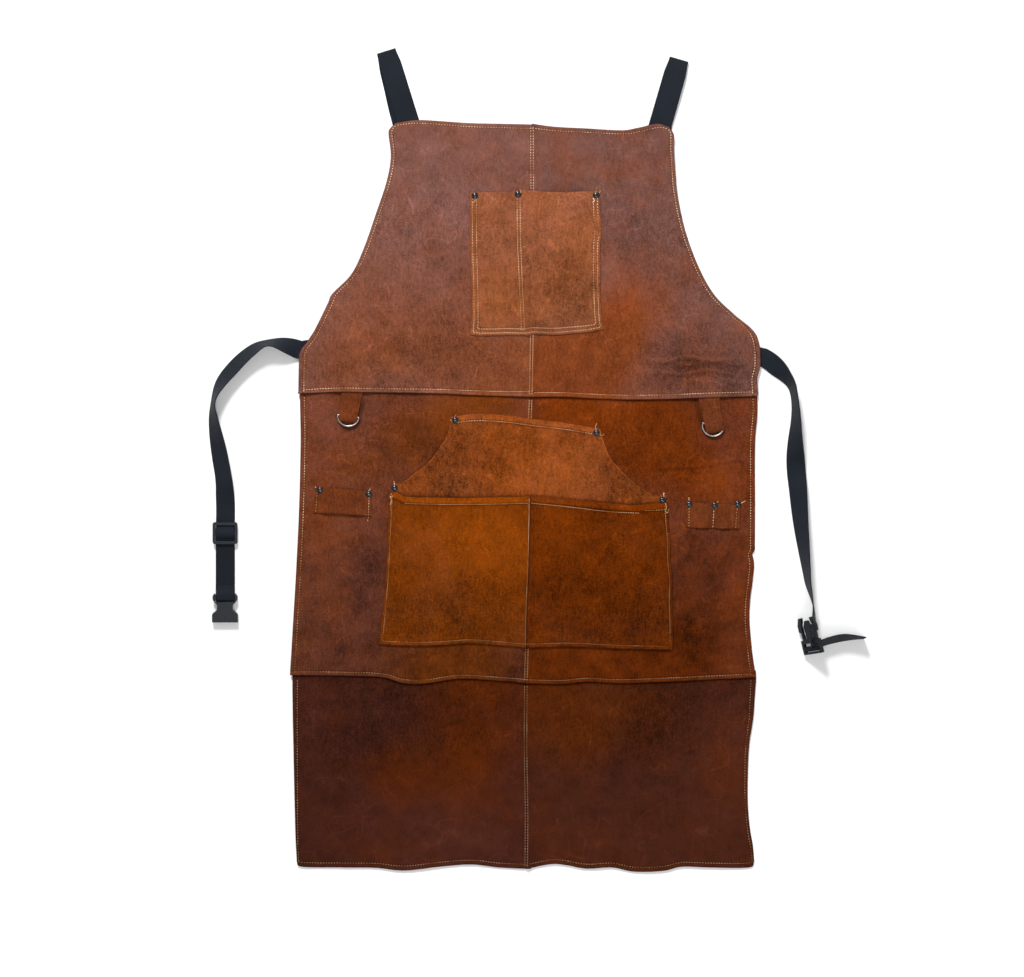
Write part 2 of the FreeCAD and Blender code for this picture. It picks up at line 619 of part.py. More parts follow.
def main():
    os.makedirs("parts", exist_ok=True)
    pocket_front = LEATHER + POCKET_GAP + LEATHER
    lower_front = pocket_front + POCKET_GAP + LEATHER
    chest_front = BIB_FRONT + POCKET_GAP + LEATHER
    for side in ("left", "right"):
        export("bib_panel_" + side, bib_panel(side))
        export("middle_panel_" + side, middle_panel(side))
        export("skirt_panel_" + side, skirt_panel(side))
        export("lower_pocket_" + side, lower_pocket(side))
        export("d_ring_tab_" + side, d_ring_tab(side))
        export("d_ring_" + side, d_ring(side))
        export("shoulder_strap_" + side, shoulder_strap(side))
        export("waist_anchor_" + side, waist_anchor(side))
        export("plug_prong_" + side, plug_prong(side))
    export("chest_pocket", chest_pocket())
    export("hand_pocket_panel", hand_pocket_panel())
    export("hammer_loop", loop_strip(HAMMER_LOOP, HAMMER_RIVETS, [(-290, -266.5), (-217, -200)]))
    export("tool_loop", loop_strip(TOOL_LOOP, TOOL_RIVETS, [(210, 224), (244.5, 254.5), (273.5, 290)]))
    export("chest_rivets", rivets(CHEST_RIVETS, BIB_BACK - WASHER_H, chest_front))
    export("hand_rivets", rivets(HAND_RIVETS, 0.0, pocket_front))
    export("lower_rivets", rivets(LOWER_RIVETS, 0.0, lower_front))
    export("hammer_rivets", rivets(HAMMER_RIVETS, 0.0, pocket_front))
    export("tool_rivets", rivets(TOOL_RIVETS, 0.0, pocket_front))
    export("chest_washers", washers(CHEST_RIVETS, BIB_BACK))
    export("middle_washers", washers(MIDDLE_RIVETS, WASHER_H))
    export("cross_patch", patch([(-38, 300), (0, 262), (46, 300), (6, 340)]))
    export("wing_patch_left", patch([(-288, 128), (-288, 160), (-254, 212), (-214, 212), (-214, 128)]))
    export("wing_patch_right", patch([(302, 124), (302, 152), (266, 200), (222, 212), (222, 124)]))
    export("left_waist_strap", left_waist_strap())
    export("left_strap_return", left_strap_return())
    export("right_waist_strap", ribbon(RIGHT_ROUTE, WAIST_WEB, 0, WEB, "right waist strap"))
    export("right_strap_tail", ribbon(TAIL_ROUTE, WAIST_WEB, 0, WEB, "tail"))
    export("plug_strap_end", plug_strap_end())
    export("right_strap_twist", strap_twist())
    export("right_strap_fold", strap_fold())
    export("slider_frame", slider_frame())
    export("slider_wrap", slider_wrap())
    export("buckle_socket", socket_shell())
    export("buckle_plug", plug_body())


main()
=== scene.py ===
"""Leather welding apron, laid flat: its looks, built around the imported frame.

Outlines and heights are worked out in millimetres and turned into metres where a mesh is made.
X is to the right, Y towards the top of the bib, Z up out of the apron's front.
"""

import math

import bpy
import numpy as np
from mathutils import Matrix, Vector
from mathutils.bvhtree import BVHTree


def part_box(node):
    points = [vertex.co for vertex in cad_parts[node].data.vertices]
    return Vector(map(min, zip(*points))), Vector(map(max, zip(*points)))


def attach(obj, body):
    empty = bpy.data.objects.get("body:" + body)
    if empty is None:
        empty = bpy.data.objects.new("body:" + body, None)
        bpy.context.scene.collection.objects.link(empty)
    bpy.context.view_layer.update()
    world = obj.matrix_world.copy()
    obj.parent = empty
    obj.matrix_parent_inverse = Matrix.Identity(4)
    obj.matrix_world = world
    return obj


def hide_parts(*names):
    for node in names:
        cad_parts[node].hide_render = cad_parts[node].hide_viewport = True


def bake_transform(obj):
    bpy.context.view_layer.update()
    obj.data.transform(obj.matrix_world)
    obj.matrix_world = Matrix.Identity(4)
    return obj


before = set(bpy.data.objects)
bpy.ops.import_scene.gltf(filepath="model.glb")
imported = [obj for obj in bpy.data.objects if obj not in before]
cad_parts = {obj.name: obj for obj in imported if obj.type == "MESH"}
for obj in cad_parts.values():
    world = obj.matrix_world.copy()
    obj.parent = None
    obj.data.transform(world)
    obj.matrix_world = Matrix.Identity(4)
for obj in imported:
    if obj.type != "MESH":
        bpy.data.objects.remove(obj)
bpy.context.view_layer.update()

MM = 0.001
LEATHER = 1.4
THREAD_R = 0.56
STITCH_PITCH = 3.6
STITCH_LENGTH = 2.1
HEM = 5.8
LOW_HEM = 4.7
POCKET_HEM = 9.2
WAIST_WEB = 25.0
SHOULDER_WEB = 29.5
WEB = 1.5
GRID_STEP = 2.6
BIB_TOP_Z = 6.0
BIB_START, BIB_END = 92.0, 124.0
SKIRT_START, SKIRT_END = -297.0, -340.0

# Offsets from a sewn edge at which a leather grid has a row, so that hems and stitch dents are real shapes
EDGE_ROWS = [0, 0.5, 1.3, 2.6, 3.7, 4.7, HEM, 6.9, 8.0, 9.2, 10.4, 12.0]

# Outlines, each from left to right or from bottom to top
BIB_LEFT = [(-308, 78), (-302, 90), (-301, 127), (-299, 144), (-284, 165), (-263, 207), (-257, 220),
            (-231, 247), (-214, 283), (-199, 326), (-185, 368), (-179, 402), (-182, 432), (-180, 440),
            (-172, 447)]
BIB_TOP_LEFT = [(-172, 447), (-144, 451), (-110, 449.5), (-73, 447), (-30, 446), (8.5, 445)]
BIB_TOP_RIGHT = [(8.5, 446), (40, 442), (80, 440), (127, 437.5), (150, 441), (174, 446), (190, 442)]
BIB_RIGHT = [(308, 77), (309, 88), (308, 108), (312, 127), (310, 156), (301, 173), (276, 194), (250, 220),
             (229, 258), (212, 305), (202, 351), (199, 381), (197, 415), (197, 432), (190, 442)]
WAIST_LEFT = [(-303, 89), (-250, 91), (-204, 90), (-114, 88), (-60, 85.5), (6, 83.5)]
WAIST_RIGHT = [(6, 83.5), (50, 83.5), (98, 81), (140, 80), (182, 80.5), (240, 82.5), (308, 84.5)]
MIDDLE_LEFT = [(-313, -287), (-310, -233), (-305, -148), (-301, -64), (-299, 21), (-299.5, 60), (-300, 96)]
MIDDLE_RIGHT = [(306, -287), (302.6, -266), (300.3, -246), (297.7, -213), (298.6, -186), (302, -160),
                (303.7, -142), (303.2, -132), (301.3, -124.6), (304.5, -121), (304.8, -107), (305, -64),
                (305, 21), (308, 60), (308, 94)]
LOWER_LEFT = [(-313, -286), (-242, -287), (-191, -289), (-161, -297), (-131, -297), (-89, -291),
              (-47, -293), (0.5, -297)]
LOWER_RIGHT = [(0.5, -297), (47, -298), (81, -295), (123, -297), (183, -295), (267, -291), (306, -289)]
SKIRT_LEFT = [(-304, -534), (-306, -494), (-308, -409), (-309.5, -330), (-310, -280)]
SKIRT_RIGHT = [(303, -535), (303.5, -527), (302, -511), (298.6, -492), (296, -466), (295.2, -439),
               (296, -399), (297.9, -373), (300.3, -359), (303.2, -339), (304.5, -319), (306.3, -293),
               (306, -280)]
HEM_LEFT = [(-304, -534), (-297, -541), (-242, -542), (-199, -542.5), (-161, -546), (-115, -541),
            (-72, -538), (-36, -542), (1, -544)]
HEM_RIGHT = [(1, -544), (34, -537.5), (55, -539), (81, -543.5), (115, -542), (144, -547.5), (183, -546.5),
             (208, -541), (246, -542), (297, -542), (304, -534)]
SEAM_LINE = [(1, -544), (1.5, -470), (0, -380), (0.5, -293), (2, -248), (4, -140), (6.5, -50), (6, 60),
             (7, 84), (8.5, 170), (9.2, 250), (9, 350), (8.5, 446)]

CHEST = {"bottom": [(-74, 166.5), (-67, 164.7), (-47, 164.4), (-27, 165), (0, 164.5), (10, 166),
                    (39, 165.4), (66, 167.5), (86, 169.5), (104.7, 173.4)],
         "top": [(-74, 356.4), (-64, 355), (-16, 354.8), (-6, 357.5), (13, 356.5), (26, 355.2), (53, 354.8),
                 (73, 355.8), (98.5, 356.4)],
         "left": [(-74, 166.5), (-72.6, 175), (-71.8, 193), (-72.2, 233), (-73.4, 272), (-74, 300),
                  (-74, 356.4)],
         "right": [(104.7, 173.4), (102, 182), (100.2, 206), (99.2, 246), (99.2, 283), (100.6, 302),
                   (99.5, 330), (98.5, 356.4)]}
CHEST_DIVIDER = [(-3.3, 171), (-4.9, 206), (-6.2, 232), (-7.3, 259), (-8.5, 286), (-9.0, 320), (-9.2, 348)]
CHEST_CREASES = [([(-30, 313.5), (-12, 314), (-2, 316.5), (7, 320)], 1.2, -0.9),
                 ([(-30, 317), (-2, 320), (6, 323)], 2.2, 0.6),
                 ([(-48, 288), (-32, 291), (-22, 298)], 2.5, 0.6),
                 ([(9.5, 178), (9.5, 230), (8, 275)], 1.6, 0.8),
                 ([(5.5, 178), (5.5, 230), (4, 275)], 1.8, -0.7),
                 ([(40, 330), (58, 337), (70, 342)], 3.0, 0.4),
                 ([(60, 200), (66, 215), (78, 226)], 4.0, 0.6), ([(72, 182), (85, 190)], 3.0, -0.5)]
POCKET_CREASES = [([(-168, -70), (-166, -140), (-170, -200)], 6.0, 0.7),
                  ([(-30, -225), (-32, -245)], 3.0, 0.5), ([(14, -225), (18, -180), (22, -150)], 3.0, 0.6),
                  ([(60, -200), (80, -170), (85, -120)], 9.0, 0.8),
                  ([(-120, -90), (-80, -110), (-40, -95)], 10.0, 0.8),
                  ([(-130, -220), (-70, -205), (-40, -215)], 9.0, 0.7),
                  ([(110, -90), (135, -130), (150, -190)], 10.0, 0.8),
                  ([(-60, -160), (-10, -150)], 8.0, 0.6)]
HAND_CREASES = [([(-131, -6.5), (-128, -9), (-124, -14)], 1.1, -0.9),
                ([(-167, -36), (-164, -40), (-159, -47)], 1.6, -0.8),
                ([(92, 30), (110, 8), (140, -12), (150, -30)], 5.0, 0.8),
                ([(-60, 44), (0, 36), (60, 30)], 7.0, 0.5),
                ([(-110, -10), (-60, -28), (-20, -30)], 9.0, 0.9), ([(3.5, -5), (3, -44)], 2.6, 0.7),
                ([(20, -20), (60, -15), (100, -30)], 9.0, 0.8)]
HAND = {"bottom": [(-188, -240), (-80, -240), (60, -244), (190, -247)],
        "top": [(-98, 57), (-75, 60.5), (-53, 61), (-20, 58.5), (8, 54.5), (50, 49.5), (99, 41)],
        "left": [(-188, -240), (-179, -140), (-176, -60), (-178, -42), (-175, -32), (-170, -31),
                 (-158, -27), (-146, -17), (-133, -8), (-121, 6), (-113, 18), (-106, 28), (-101, 42),
                 (-98, 57)],
        "right": [(190, -247), (190, -150), (184, -66), (187, -50), (184, -46), (176, -48), (165, -44),
                  (153, -37), (141, -28), (126, -13), (114, 0), (108, 12), (103, 27), (99, 41)]}
POCKET_LEFT = {"bottom": [(-195.5, -245), (-170, -246.5), (-140, -247.1), (-110, -246), (-79, -243.7),
                          (-58, -244.5), (-34, -246.5), (1, -249.5)],
               "top": [(-180, -45), (-171.6, -43), (-163.9, -47.3), (-153.6, -49.3), (-100, -50.5),
                       (-58.9, -50.4), (6.3, -48.5)],
               "left": [(-195.5, -245), (-192.5, -228), (-188.5, -187), (-185.8, -155), (-184.2, -120),
                        (-182, -80), (-181, -60), (-180, -45)],
               "right": [(1, -249.5), (1.5, -213), (3, -173), (4.5, -133), (5.5, -93), (6.3, -48.5)]}
POCKET_RIGHT = {"bottom": [(1, -249.5), (30, -249), (59, -248.2), (100, -250), (139, -251.6), (170, -252),
                           (195, -253)],
                "top": [(6.3, -48.5), (40, -50.5), (68.9, -53.7), (114.9, -58.1), (145.6, -60.1),
                        (166, -58.3), (188.5, -57.5)],
                "left": [(1, -249.5), (1.5, -213), (3, -173), (4.5, -133), (5.5, -93), (6.3, -48.5)],
                "right": [(195, -253), (195.6, -240), (195.4, -213), (194.4, -187), (194.8, -160),
                          (192.4, -133), (192, -107), (189.8, -80), (188.5, -57.5)]}
POCKET_HEM_ROWS = [[(7, -57.6), (33, -60.1), (69, -63.9), (94.5, -67.3), (120, -69.6), (151, -70.9)],
                   [(158, -67.5), (172, -67), (186, -66.4)]]
HAMMER = {"bottom": [(-282.5, -71), (-245, -72), (-205, -75.5)],
          "top": [(-278, -37.5), (-240, -39), (-205, -42)],
          "left": [(-282.5, -71), (-278, -37.5)], "right": [(-205, -75.5), (-205, -42)]}
TOOL = {"bottom": [(213, -90), (250, -91.5), (284.5, -92)], "top": [(213, -55.5), (250, -58), (284.6, -60)],
        "left": [(213, -90), (213, -55.5)], "right": [(284.5, -92), (284.6, -60)]}

RIVETS = {"chest_rivets": [(-67.2, 350.2), (-10, 352.2), (93.8, 350.8)],
          "hand_rivets": [(-93.5, 52.9), (94.4, 35.8)],
          "lower_rivets": [(-174, -37.9), (181.9, -53.7)],
          "hammer_rivets": [(-273.2, -40.2), (-208.5, -45.5)],
          "tool_rivets": [(217.6, -59.3), (251.3, -60.9), (282.3, -59.3)]}

# Top and nose of each D-ring tab
TABS = {"left": ((-229.7, 94.0), (-236.5, 50.3)), "right": ((241.5, 94.0), (252.5, 36.5))}

# Lines of painted shadow beside each tab and under its nose
TAB_SHADOW_LINES = [[(224.5, 86), (227.5, 72), (233.5, 52), (238.0, 40), (243, 33), (252, 30), (262, 34)],
            [(-213, 88), (-216.5, 74), (-220.5, 58), (-222.0, 46), (-229, 40.5), (-238, 40), (-248, 44)]]

# Routes of the free webbing, the same points as in the part
LEFT_ROUTE = [(-301, 145), (-342, 157), (-385, 127), (-413, 80), (-412, 20), (-401.5, -40), (-399, -105),
              (-399.5, -176)]
RIGHT_ROUTE = [(314, 137), (347, 114), (360.5, 72), (359.5, 8), (363.5, -62), (374, -130), (385, -196),
               (385, -250)]


# Arithmetic

def smooth(t):
    t = np.clip(t, 0, 1)
    return t * t * (3 - 2 * t)


def bump(t, width):
    return np.exp(-(t / width) ** 2)


def curve_through(points, step=1.5):
    """Centripetal-free Catmull-Rom curve through the points, evenly sampled."""
    p = np.array(points, float)
    p = np.vstack([2 * p[0] - p[1], p, 2 * p[-1] - p[-2]])
    out = []
    for k in range(1, len(p) - 2):
        n = max(2, int(np.linalg.norm(p[k + 1] - p[k]) / step))
        t = np.linspace(0, 1, n, endpoint=False)[:, None]
        a, b, c, d = p[k - 1], p[k], p[k + 1], p[k + 2]
        out.append(0.5 * (2 * b + (c - a) * t + (2 * a - 5 * b + 4 * c - d) * t ** 2
                          + (3 * b - a - 3 * c + d) * t ** 3))
    out.append(p[-2][None, :])
    return np.vstack(out)


def lengths(path):
    return np.concatenate([[0], np.cumsum(np.linalg.norm(np.diff(path, axis=0), axis=1))])


def sample(path, t):
    """Points of a path at shares t of its length."""
    s = lengths(path)
    return np.stack([np.interp(np.asarray(t) * s[-1], s, path[:, k]) for k in range(path.shape[1])],
                    axis=-1)


def spacing(length, rows_low, rows_high, step=GRID_STEP):
    """Shares of a length at which the grid has a line, with close lines at a sewn edge."""
    low = np.array(EDGE_ROWS if rows_low else [0, 0.5, 1.3, 2.6], float)
    high = np.array(EDGE_ROWS if rows_high else [0, 0.5, 1.3, 2.6], float)
    n = max(2, int((length - low[-1] - high[-1]) / step))
    inner = np.linspace(low[-1], length - high[-1], n + 1)
    return np.concatenate([low[:-1], inner, (length - high[:-1])[::-1]]) / length


class Patch:
    """Grid between four boundary curves, with each point's distance from each side."""

    def __init__(self, bottom, right, top, left, rows="lrbt", step=GRID_STEP):
        b, r, t, l = (curve_through(c) for c in (bottom, right, top, left))
        width = (lengths(b)[-1] + lengths(t)[-1]) / 2
        height = (lengths(l)[-1] + lengths(r)[-1]) / 2
        u = spacing(width, "l" in rows, "r" in rows, step)
        v = spacing(height, "b" in rows, "t" in rows, step)
        bu, tu, lv, rv = sample(b, u), sample(t, u), sample(l, v), sample(r, v)
        uu, vv = np.meshgrid(u, v)
        uu, vv = uu[..., None], vv[..., None]
        across = (1 - vv) * bu[None] + vv * tu[None]
        along = (1 - uu) * lv[:, None] + uu * rv[:, None]
        corners = ((1 - uu) * (1 - vv) * b[0] + uu * (1 - vv) * b[-1] + (1 - uu) * vv * t[0] + uu * vv
                   * t[-1])
        p = across + along - corners
        self.x, self.y = p[..., 0], p[..., 1]
        self.u, self.v = uu[..., 0], vv[..., 0]
        du = np.linalg.norm(np.diff(p, axis=1), axis=2)
        dv = np.linalg.norm(np.diff(p, axis=0), axis=2)
        self.left = np.concatenate([np.zeros((len(v), 1)), np.cumsum(du, axis=1)], axis=1)
        self.right = self.left[:, -1:] - self.left
        self.bottom = np.concatenate([np.zeros((1, len(u))), np.cumsum(dv, axis=0)], axis=0)
        self.top = self.bottom[-1:, :] - self.bottom
        self.width, self.height = width, height

    def away(self, side):
        """Each point's distance from a side, named by its first letter."""
        return {"l": self.left, "r": self.right, "b": self.bottom, "t": self.top}[side]

    def line(self, side, inset, start=0.0, stop=0.0):
        """Path that runs inset from a side, shortened at its two ends."""
        upright = side in "lr"
        k = int(np.argmin(np.abs(self.away(side).mean(axis=0 if upright else 1) - inset)))
        line = (slice(None), k) if upright else k
        path = np.stack([self.x[line], self.y[line]], axis=1)
        s = lengths(path)
        return sample(path, np.linspace(start / s[-1], 1 - stop / s[-1], max(3, int(s[-1] / 2))))


# Heights of the leather

def seam_x(y):
    line = np.array(SEAM_LINE)
    return np.interp(y, line[:, 1], line[:, 0])


def crease(x, y, points, width, depth):
    """Ridge (positive) or furrow (negative) along a line of points, fading at its two ends."""
    p = np.array(points, float)
    total = lengths(p)
    best = np.full(np.shape(x), 1e9)
    place = np.zeros(np.shape(x))
    for k in range(len(p) - 1):
        d = p[k + 1] - p[k]
        t = np.clip(((x - p[k, 0]) * d[0] + (y - p[k, 1]) * d[1]) / (d @ d), 0, 1)
        away = np.hypot(x - p[k, 0] - t * d[0], y - p[k, 1] - t * d[1])
        place = np.where(away < best, (total[k] + t * (total[k + 1] - total[k])) / total[-1], place)
        best = np.minimum(best, away)
    return depth * smooth(place * 5) * smooth((1 - place) * 5) * bump(best, width)


# Furrows and ridges pressed into the hide: line, half width, height
CREASES = [
    ([(152, 135), (185, 130), (215, 137), (250, 131), (300, 136)], 2.6, 2.2),
    ([(150, 126), (200, 120), (250, 125), (304, 121)], 3.0, -1.6),
    ([(168, 117), (205, 113), (240, 118), (286, 112)], 2.6, 1.8),
    ([(196, 127), (222, 125), (243, 129)], 1.8, 1.2), ([(262, 128), (284, 126), (300, 129)], 1.8, 1.2),
    ([(176, 143), (230, 147), (300, 143)], 5.0, 0.8), ([(205, 104), (250, 107), (300, 101)], 4.0, 1.2),
    ([(110, 95), (128, 118), (133, 140)], 3.5, 0.8), ([(96, 98), (104, 130)], 4.0, -0.6),
    ([(60, 100), (68, 140), (60, 165)], 5.0, 0.7),
    ([(150, -12), (225, -9), (262, -2), (287, 2), (293, -6), (293, -45), (287, -56)], 2.0, 1.25),
    ([(150, -15.5), (225, -12.5), (262, -5.5), (284, -2), (289.5, -8), (289.5, -45)], 1.6, -0.7),
    ([(120, -20), (190, 8)], 7.0, 0.8), ([(189, -47), (206, -52), (214, -55)], 1.4, 0.5),
    ([(-230, 40), (-185, 30), (-140, 8)], 8.0, 0.8), ([(-296, 8), (-255, -2), (-212, -3)], 6.0, 0.8),
    ([(-296, 26), (-250, 22)], 5.0, -0.5), ([(-240, 105), (-160, 118), (-110, 100)], 8.0, 0.8),
    ([(-50, 100), (-30, 125), (-5, 133)], 6.0, 0.6), ([(-270, 150), (-200, 175), (-170, 215)], 10.0, 0.8),
    ([(-185, 110), (-175, 210), (-183, 300)], 3.0, 0.45), ([(165, 220), (190, 180), (240, 160)], 8.0, 0.9),
    ([(-290, -180), (-250, -160), (-215, -150)], 8.0, 0.8),
    ([(215, -160), (250, -180), (292, -186)], 8.0, 0.9),
    ([(-200, -262), (-130, -268), (-60, -272)], 5.0, 0.8),
    ([(30, -266), (90, -261), (150, -262)], 6.0, 0.9), ([(200, -215), (240, -240), (296, -236)], 8.0, 0.9),
    ([(-296, -120), (-240, -110)], 8.0, 0.6), ([(-270, -330), (-190, -345), (-120, -340)], 10.0, 0.8),
    ([(60, -330), (140, -338), (220, -350)], 10.0, 0.8),
    ([(120, -420), (200, -408), (280, -400)], 12.0, 0.8),
    ([(-150, -520), (-90, -505), (-40, -520)], 8.0, 0.9),
    ([(60, -520), (110, -508), (150, -525)], 7.0, 1.1), ([(-75, 300), (-120, 330), (-140, 380)], 12.0, 0.6),
    ([(110, 300), (126, 250), (130, 200)], 4.0, 0.7), ([(118, 250), (122, 200), (118, 170)], 2.5, -0.5),
]


def relief_shade(x, y, creases, strength=0.13):
    """Painted highlight on ridges and painted shade in furrows."""
    total = sum(crease(x, y, points, width * 1.1, np.sign(depth) * min(abs(depth), 1.3)) for points, width,
                depth in creases)
    return 1 + strength * np.clip(total, -2.0, 1.5)


def over_tabs(x, y, reach):
    """1 at the two D-ring tabs, falling to 0 a reach away."""
    share = 0.0 * x
    for (x0, y0), (x1, y1) in TABS.values():
        t = np.clip(((x - x0) * (x1 - x0) + (y - y0) * (y1 - y0)) / ((x1 - x0) ** 2 + (y1 - y0) ** 2), 0, 1)
        away = np.hypot(x - x0 - t * (x1 - x0), y - y0 - t * (y1 - y0))
        share = np.maximum(share, smooth((reach - away) / (reach - 12)))
    return share


def tab_shadow(x, y):
    """1 along the painted shadow beside each D-ring tab and under its nose."""
    share = 0.0 * x
    for line in TAB_SHADOW_LINES:
        share = np.maximum(share, np.abs(crease(x, y, line, 2.4, 1.0)))
    return share


def waves(x, y):
    """Slow unevenness of a hide that lies loose, never negative."""
    z = 0.34 * np.sin(x / 47 + 1.3) * np.sin(y / 61 + 0.4) + 0.26 * np.sin(x / 29 + y / 37 + 2.0)
    z = z + 0.16 * np.sin(x / 13.0 - y / 17.0) + 0.12 * np.sin(x / 9.1 + y / 23.0 + 1.0) * np.sin(y / 11.3)
    z = z + 0.10 * np.sin(x / 4.3 + 2 * np.sin(y / 19.0)) * np.sin(y / 5.1 + 2 * np.sin(x / 23.0)) + 0.95
    for points, width, depth in CREASES:
        z = z + crease(x, y, points, width, depth)
    return np.maximum(z, 0.0) * (1 - 0.8 * over_tabs(x, y, 32))


def ridge(x, y, lap):
    """Felled centre seam: the right half lies over the left one."""
    away = x - seam_x(y)
    return 1.5 * smooth((10 - away) / 7) * smooth((away + 9) / 3) if lap else -0.35 * bump(away + 1.8, 1.2)


def hem(d, depth=0.5, inset=HEM):
    """Rounded hem: a lip at the edge, and a dent where the thread pulls the leather down."""
    return 0.35 * smooth(1 - d / 9) - depth * bump(d - inset, 1.1)


def lifted(x, d, most):
    """Loose edge of a lapped panel: it stands off by an uneven amount beyond its stitches."""
    uneven = 0.55 + 0.3 * np.sin(x / 27 + 0.8) + 0.25 * np.sin(x / 11.5 + 2.2)
    return most * np.maximum(uneven, 0.1) * smooth(1 - d / 4.6)


def waist_edge(x):
    line = np.array(WAIST_LEFT[:-1] + WAIST_RIGHT)
    return np.interp(x, line[:, 0], line[:, 1])


def lower_edge(x):
    line = np.array(LOWER_LEFT[:-1] + LOWER_RIGHT)
    return np.interp(x, line[:, 0], line[:, 1])


def bib_base(x, y):
    lift = smooth((y - waist_edge(x)) / 42)
    edge = smooth(1 - (y - waist_edge(x)) / 30)
    return LEATHER + 1.55 + (BIB_TOP_Z - 2.95 - 0.9) * lift + 2.3 * edge * over_tabs(x, y, 36)


def middle_base(x, y):
    return LEATHER + 1.5 * smooth((lower_edge(x) + 34 - y) / 24)


def body_top(x, y):
    """Top of the leather under the pockets."""
    base = np.where(y > waist_edge(x), bib_base(x, y), middle_base(x, y))
    return base + waves(x, y) + np.maximum(ridge(x, y, True), 0)


# Meshes

def new_piece(name, verts, faces, material, rounded=True):
    """Object made of points in millimetres."""
    mesh = bpy.data.meshes.new(name)
    mesh.from_pydata((np.asarray(verts, float) * MM).tolist(), [], [list(face) for face in faces])
    mesh.polygons.foreach_set("use_smooth", [rounded] * len(mesh.polygons))
    mesh.materials.append(material)
    mesh.update()
    piece = bpy.data.objects.new(name, mesh)
    bpy.context.scene.collection.objects.link(piece)
    return piece


def shell_faces(rows, cols):
    """Quads of a closed sheet: top grid, bottom grid and the rim between them."""
    index = np.arange(rows * cols).reshape(rows, cols)
    top = np.stack([index[:-1, :-1], index[:-1, 1:], index[1:, 1:], index[1:, :-1]], axis=-1).reshape(-1, 4)
    low = top[:, ::-1] + rows * cols
    ring = np.concatenate([index[0, :], index[1:, -1], index[-1, -2::-1], index[-2:0:-1, 0]])
    after = np.roll(ring, -1)
    rim = np.stack([ring, ring + rows * cols, after + rows * cols, after], axis=-1)
    return np.concatenate([top, low, rim])


def leather_sheet(name, patch, z, material, shade=None, thickness=LEATHER):
    """Closed leather sheet with soft cut edges; shade, painted shade and highlight with edge wear, darkens or
    lightens it point by point.
    """
    rows, cols = patch.x.shape
    edge = np.minimum(np.minimum(patch.left, patch.right), np.minimum(patch.bottom, patch.top))
    soft = 0.32 * thickness * np.clip(1 - edge / 1.2, 0, 1)
    top = np.stack([patch.x, patch.y, z - soft], axis=-1).reshape(-1, 3)
    low = np.stack([patch.x, patch.y, np.maximum(z - thickness + soft, 0.02)], axis=-1).reshape(-1, 3)
    piece = new_piece(name, np.vstack([top, low]), shell_faces(rows, cols).tolist(), material)
    # Stored per point: painted shade and painted highlight, with darker handled edges
    values = np.zeros((rows, cols)) if shade is None else 1 - shade
    layer = piece.data.attributes.new("dirt", "FLOAT", "POINT")
    layer.data.foreach_set("value", np.concatenate([values.ravel()] * 2).astype(np.float32))
    return piece


def surface_of(pieces):
    """Ray-casting tree of several pieces, in millimetres."""
    verts, faces, base = [], [], 0
    for piece in pieces:
        mesh = piece.data
        co = np.empty(len(mesh.vertices) * 3)
        mesh.vertices.foreach_get("co", co)
        verts.append(co.reshape(-1, 3) / MM)
        faces += [[i + base for i in p.vertices] for p in mesh.polygons]
        base += len(mesh.vertices)
    return BVHTree.FromPolygons(np.vstack(verts).tolist(), faces)


def height_at(tree, x, y, missing=1.4):
    hit = tree.ray_cast(Vector((x, y, 60)), Vector((0, 0, -1)))
    return hit[0].z if hit[0] else missing


def tube_faces(rows, sides):
    """Faces of a closed run of rings, and its two ends."""
    index = np.arange(rows * sides).reshape(rows, sides)
    after = np.roll(index, -1, axis=1)
    quads = np.stack([index[:-1], after[:-1], after[1:], index[1:]], axis=-1).reshape(-1, 4).tolist()
    return quads + [index[0][::-1].tolist(), index[-1].tolist()]


# Along one stitch: places, thickness and height of its rings
STITCH_T = np.array([0.0, 0.14, 0.5, 0.86, 1.0])
STITCH_FAT = np.array([0.45, 0.9, 1.0, 0.9, 0.45])
STITCH_LIFT = np.array([-0.42, -0.02, 0.2, -0.02, -0.42])
STITCH_SIDES = 6


def stitches(name, tree, paths, material, seed=1, radius=THREAD_R, pitch=STITCH_PITCH):
    """One mesh of thread stitches that lie on the surface along the paths."""
    rng = np.random.default_rng(seed)
    starts, ends = [], []
    for path in paths:
        path = np.array(path, float)
        total = lengths(path)[-1]
        count = max(1, int(total / pitch))
        places = (np.arange(count) + 0.5) * total / count
        half = STITCH_LENGTH / 2 * (total / count) / pitch
        a = sample(path, (places - half) / total)
        b = sample(path, (places + half) / total)
        starts.append(a + rng.normal(0, 0.09, a.shape))
        ends.append(b + rng.normal(0, 0.09, b.shape))
    a, b = np.vstack(starts), np.vstack(ends)
    n = len(a)
    za = np.array([height_at(tree, *p) for p in a])
    zb = np.array([height_at(tree, *p) for p in b])
    line = a[:, None] + (b - a)[:, None] * STITCH_T[None, :, None]
    z = za[:, None] + (zb - za)[:, None] * STITCH_T + STITCH_LIFT
    along = (b - a) / np.linalg.norm(b - a, axis=1)[:, None]
    side = np.stack([-along[:, 1], along[:, 0]], axis=1)
    turn = np.arange(STITCH_SIDES) / STITCH_SIDES * 2 * math.pi
    fat = radius * STITCH_FAT[None, :] * rng.uniform(0.88, 1.12, (n, 1))
    verts = np.empty((n, 5, STITCH_SIDES, 3))
    cos, sin = np.cos(turn), np.sin(turn)
    verts[..., 0] = line[:, :, None, 0] + side[:, None, None, 0] * fat[:, :, None] * cos
    verts[..., 1] = line[:, :, None, 1] + side[:, None, None, 1] * fat[:, :, None] * cos
    verts[..., 2] = z[:, :, None] + fat[:, :, None] * sin
    faces = []
    for base in range(0, n * 5 * STITCH_SIDES, 5 * STITCH_SIDES):
        faces += [[base + i for i in face] for face in tube_faces(5, STITCH_SIDES)]
    return new_piece(name, verts.reshape(-1, 3), faces, material)


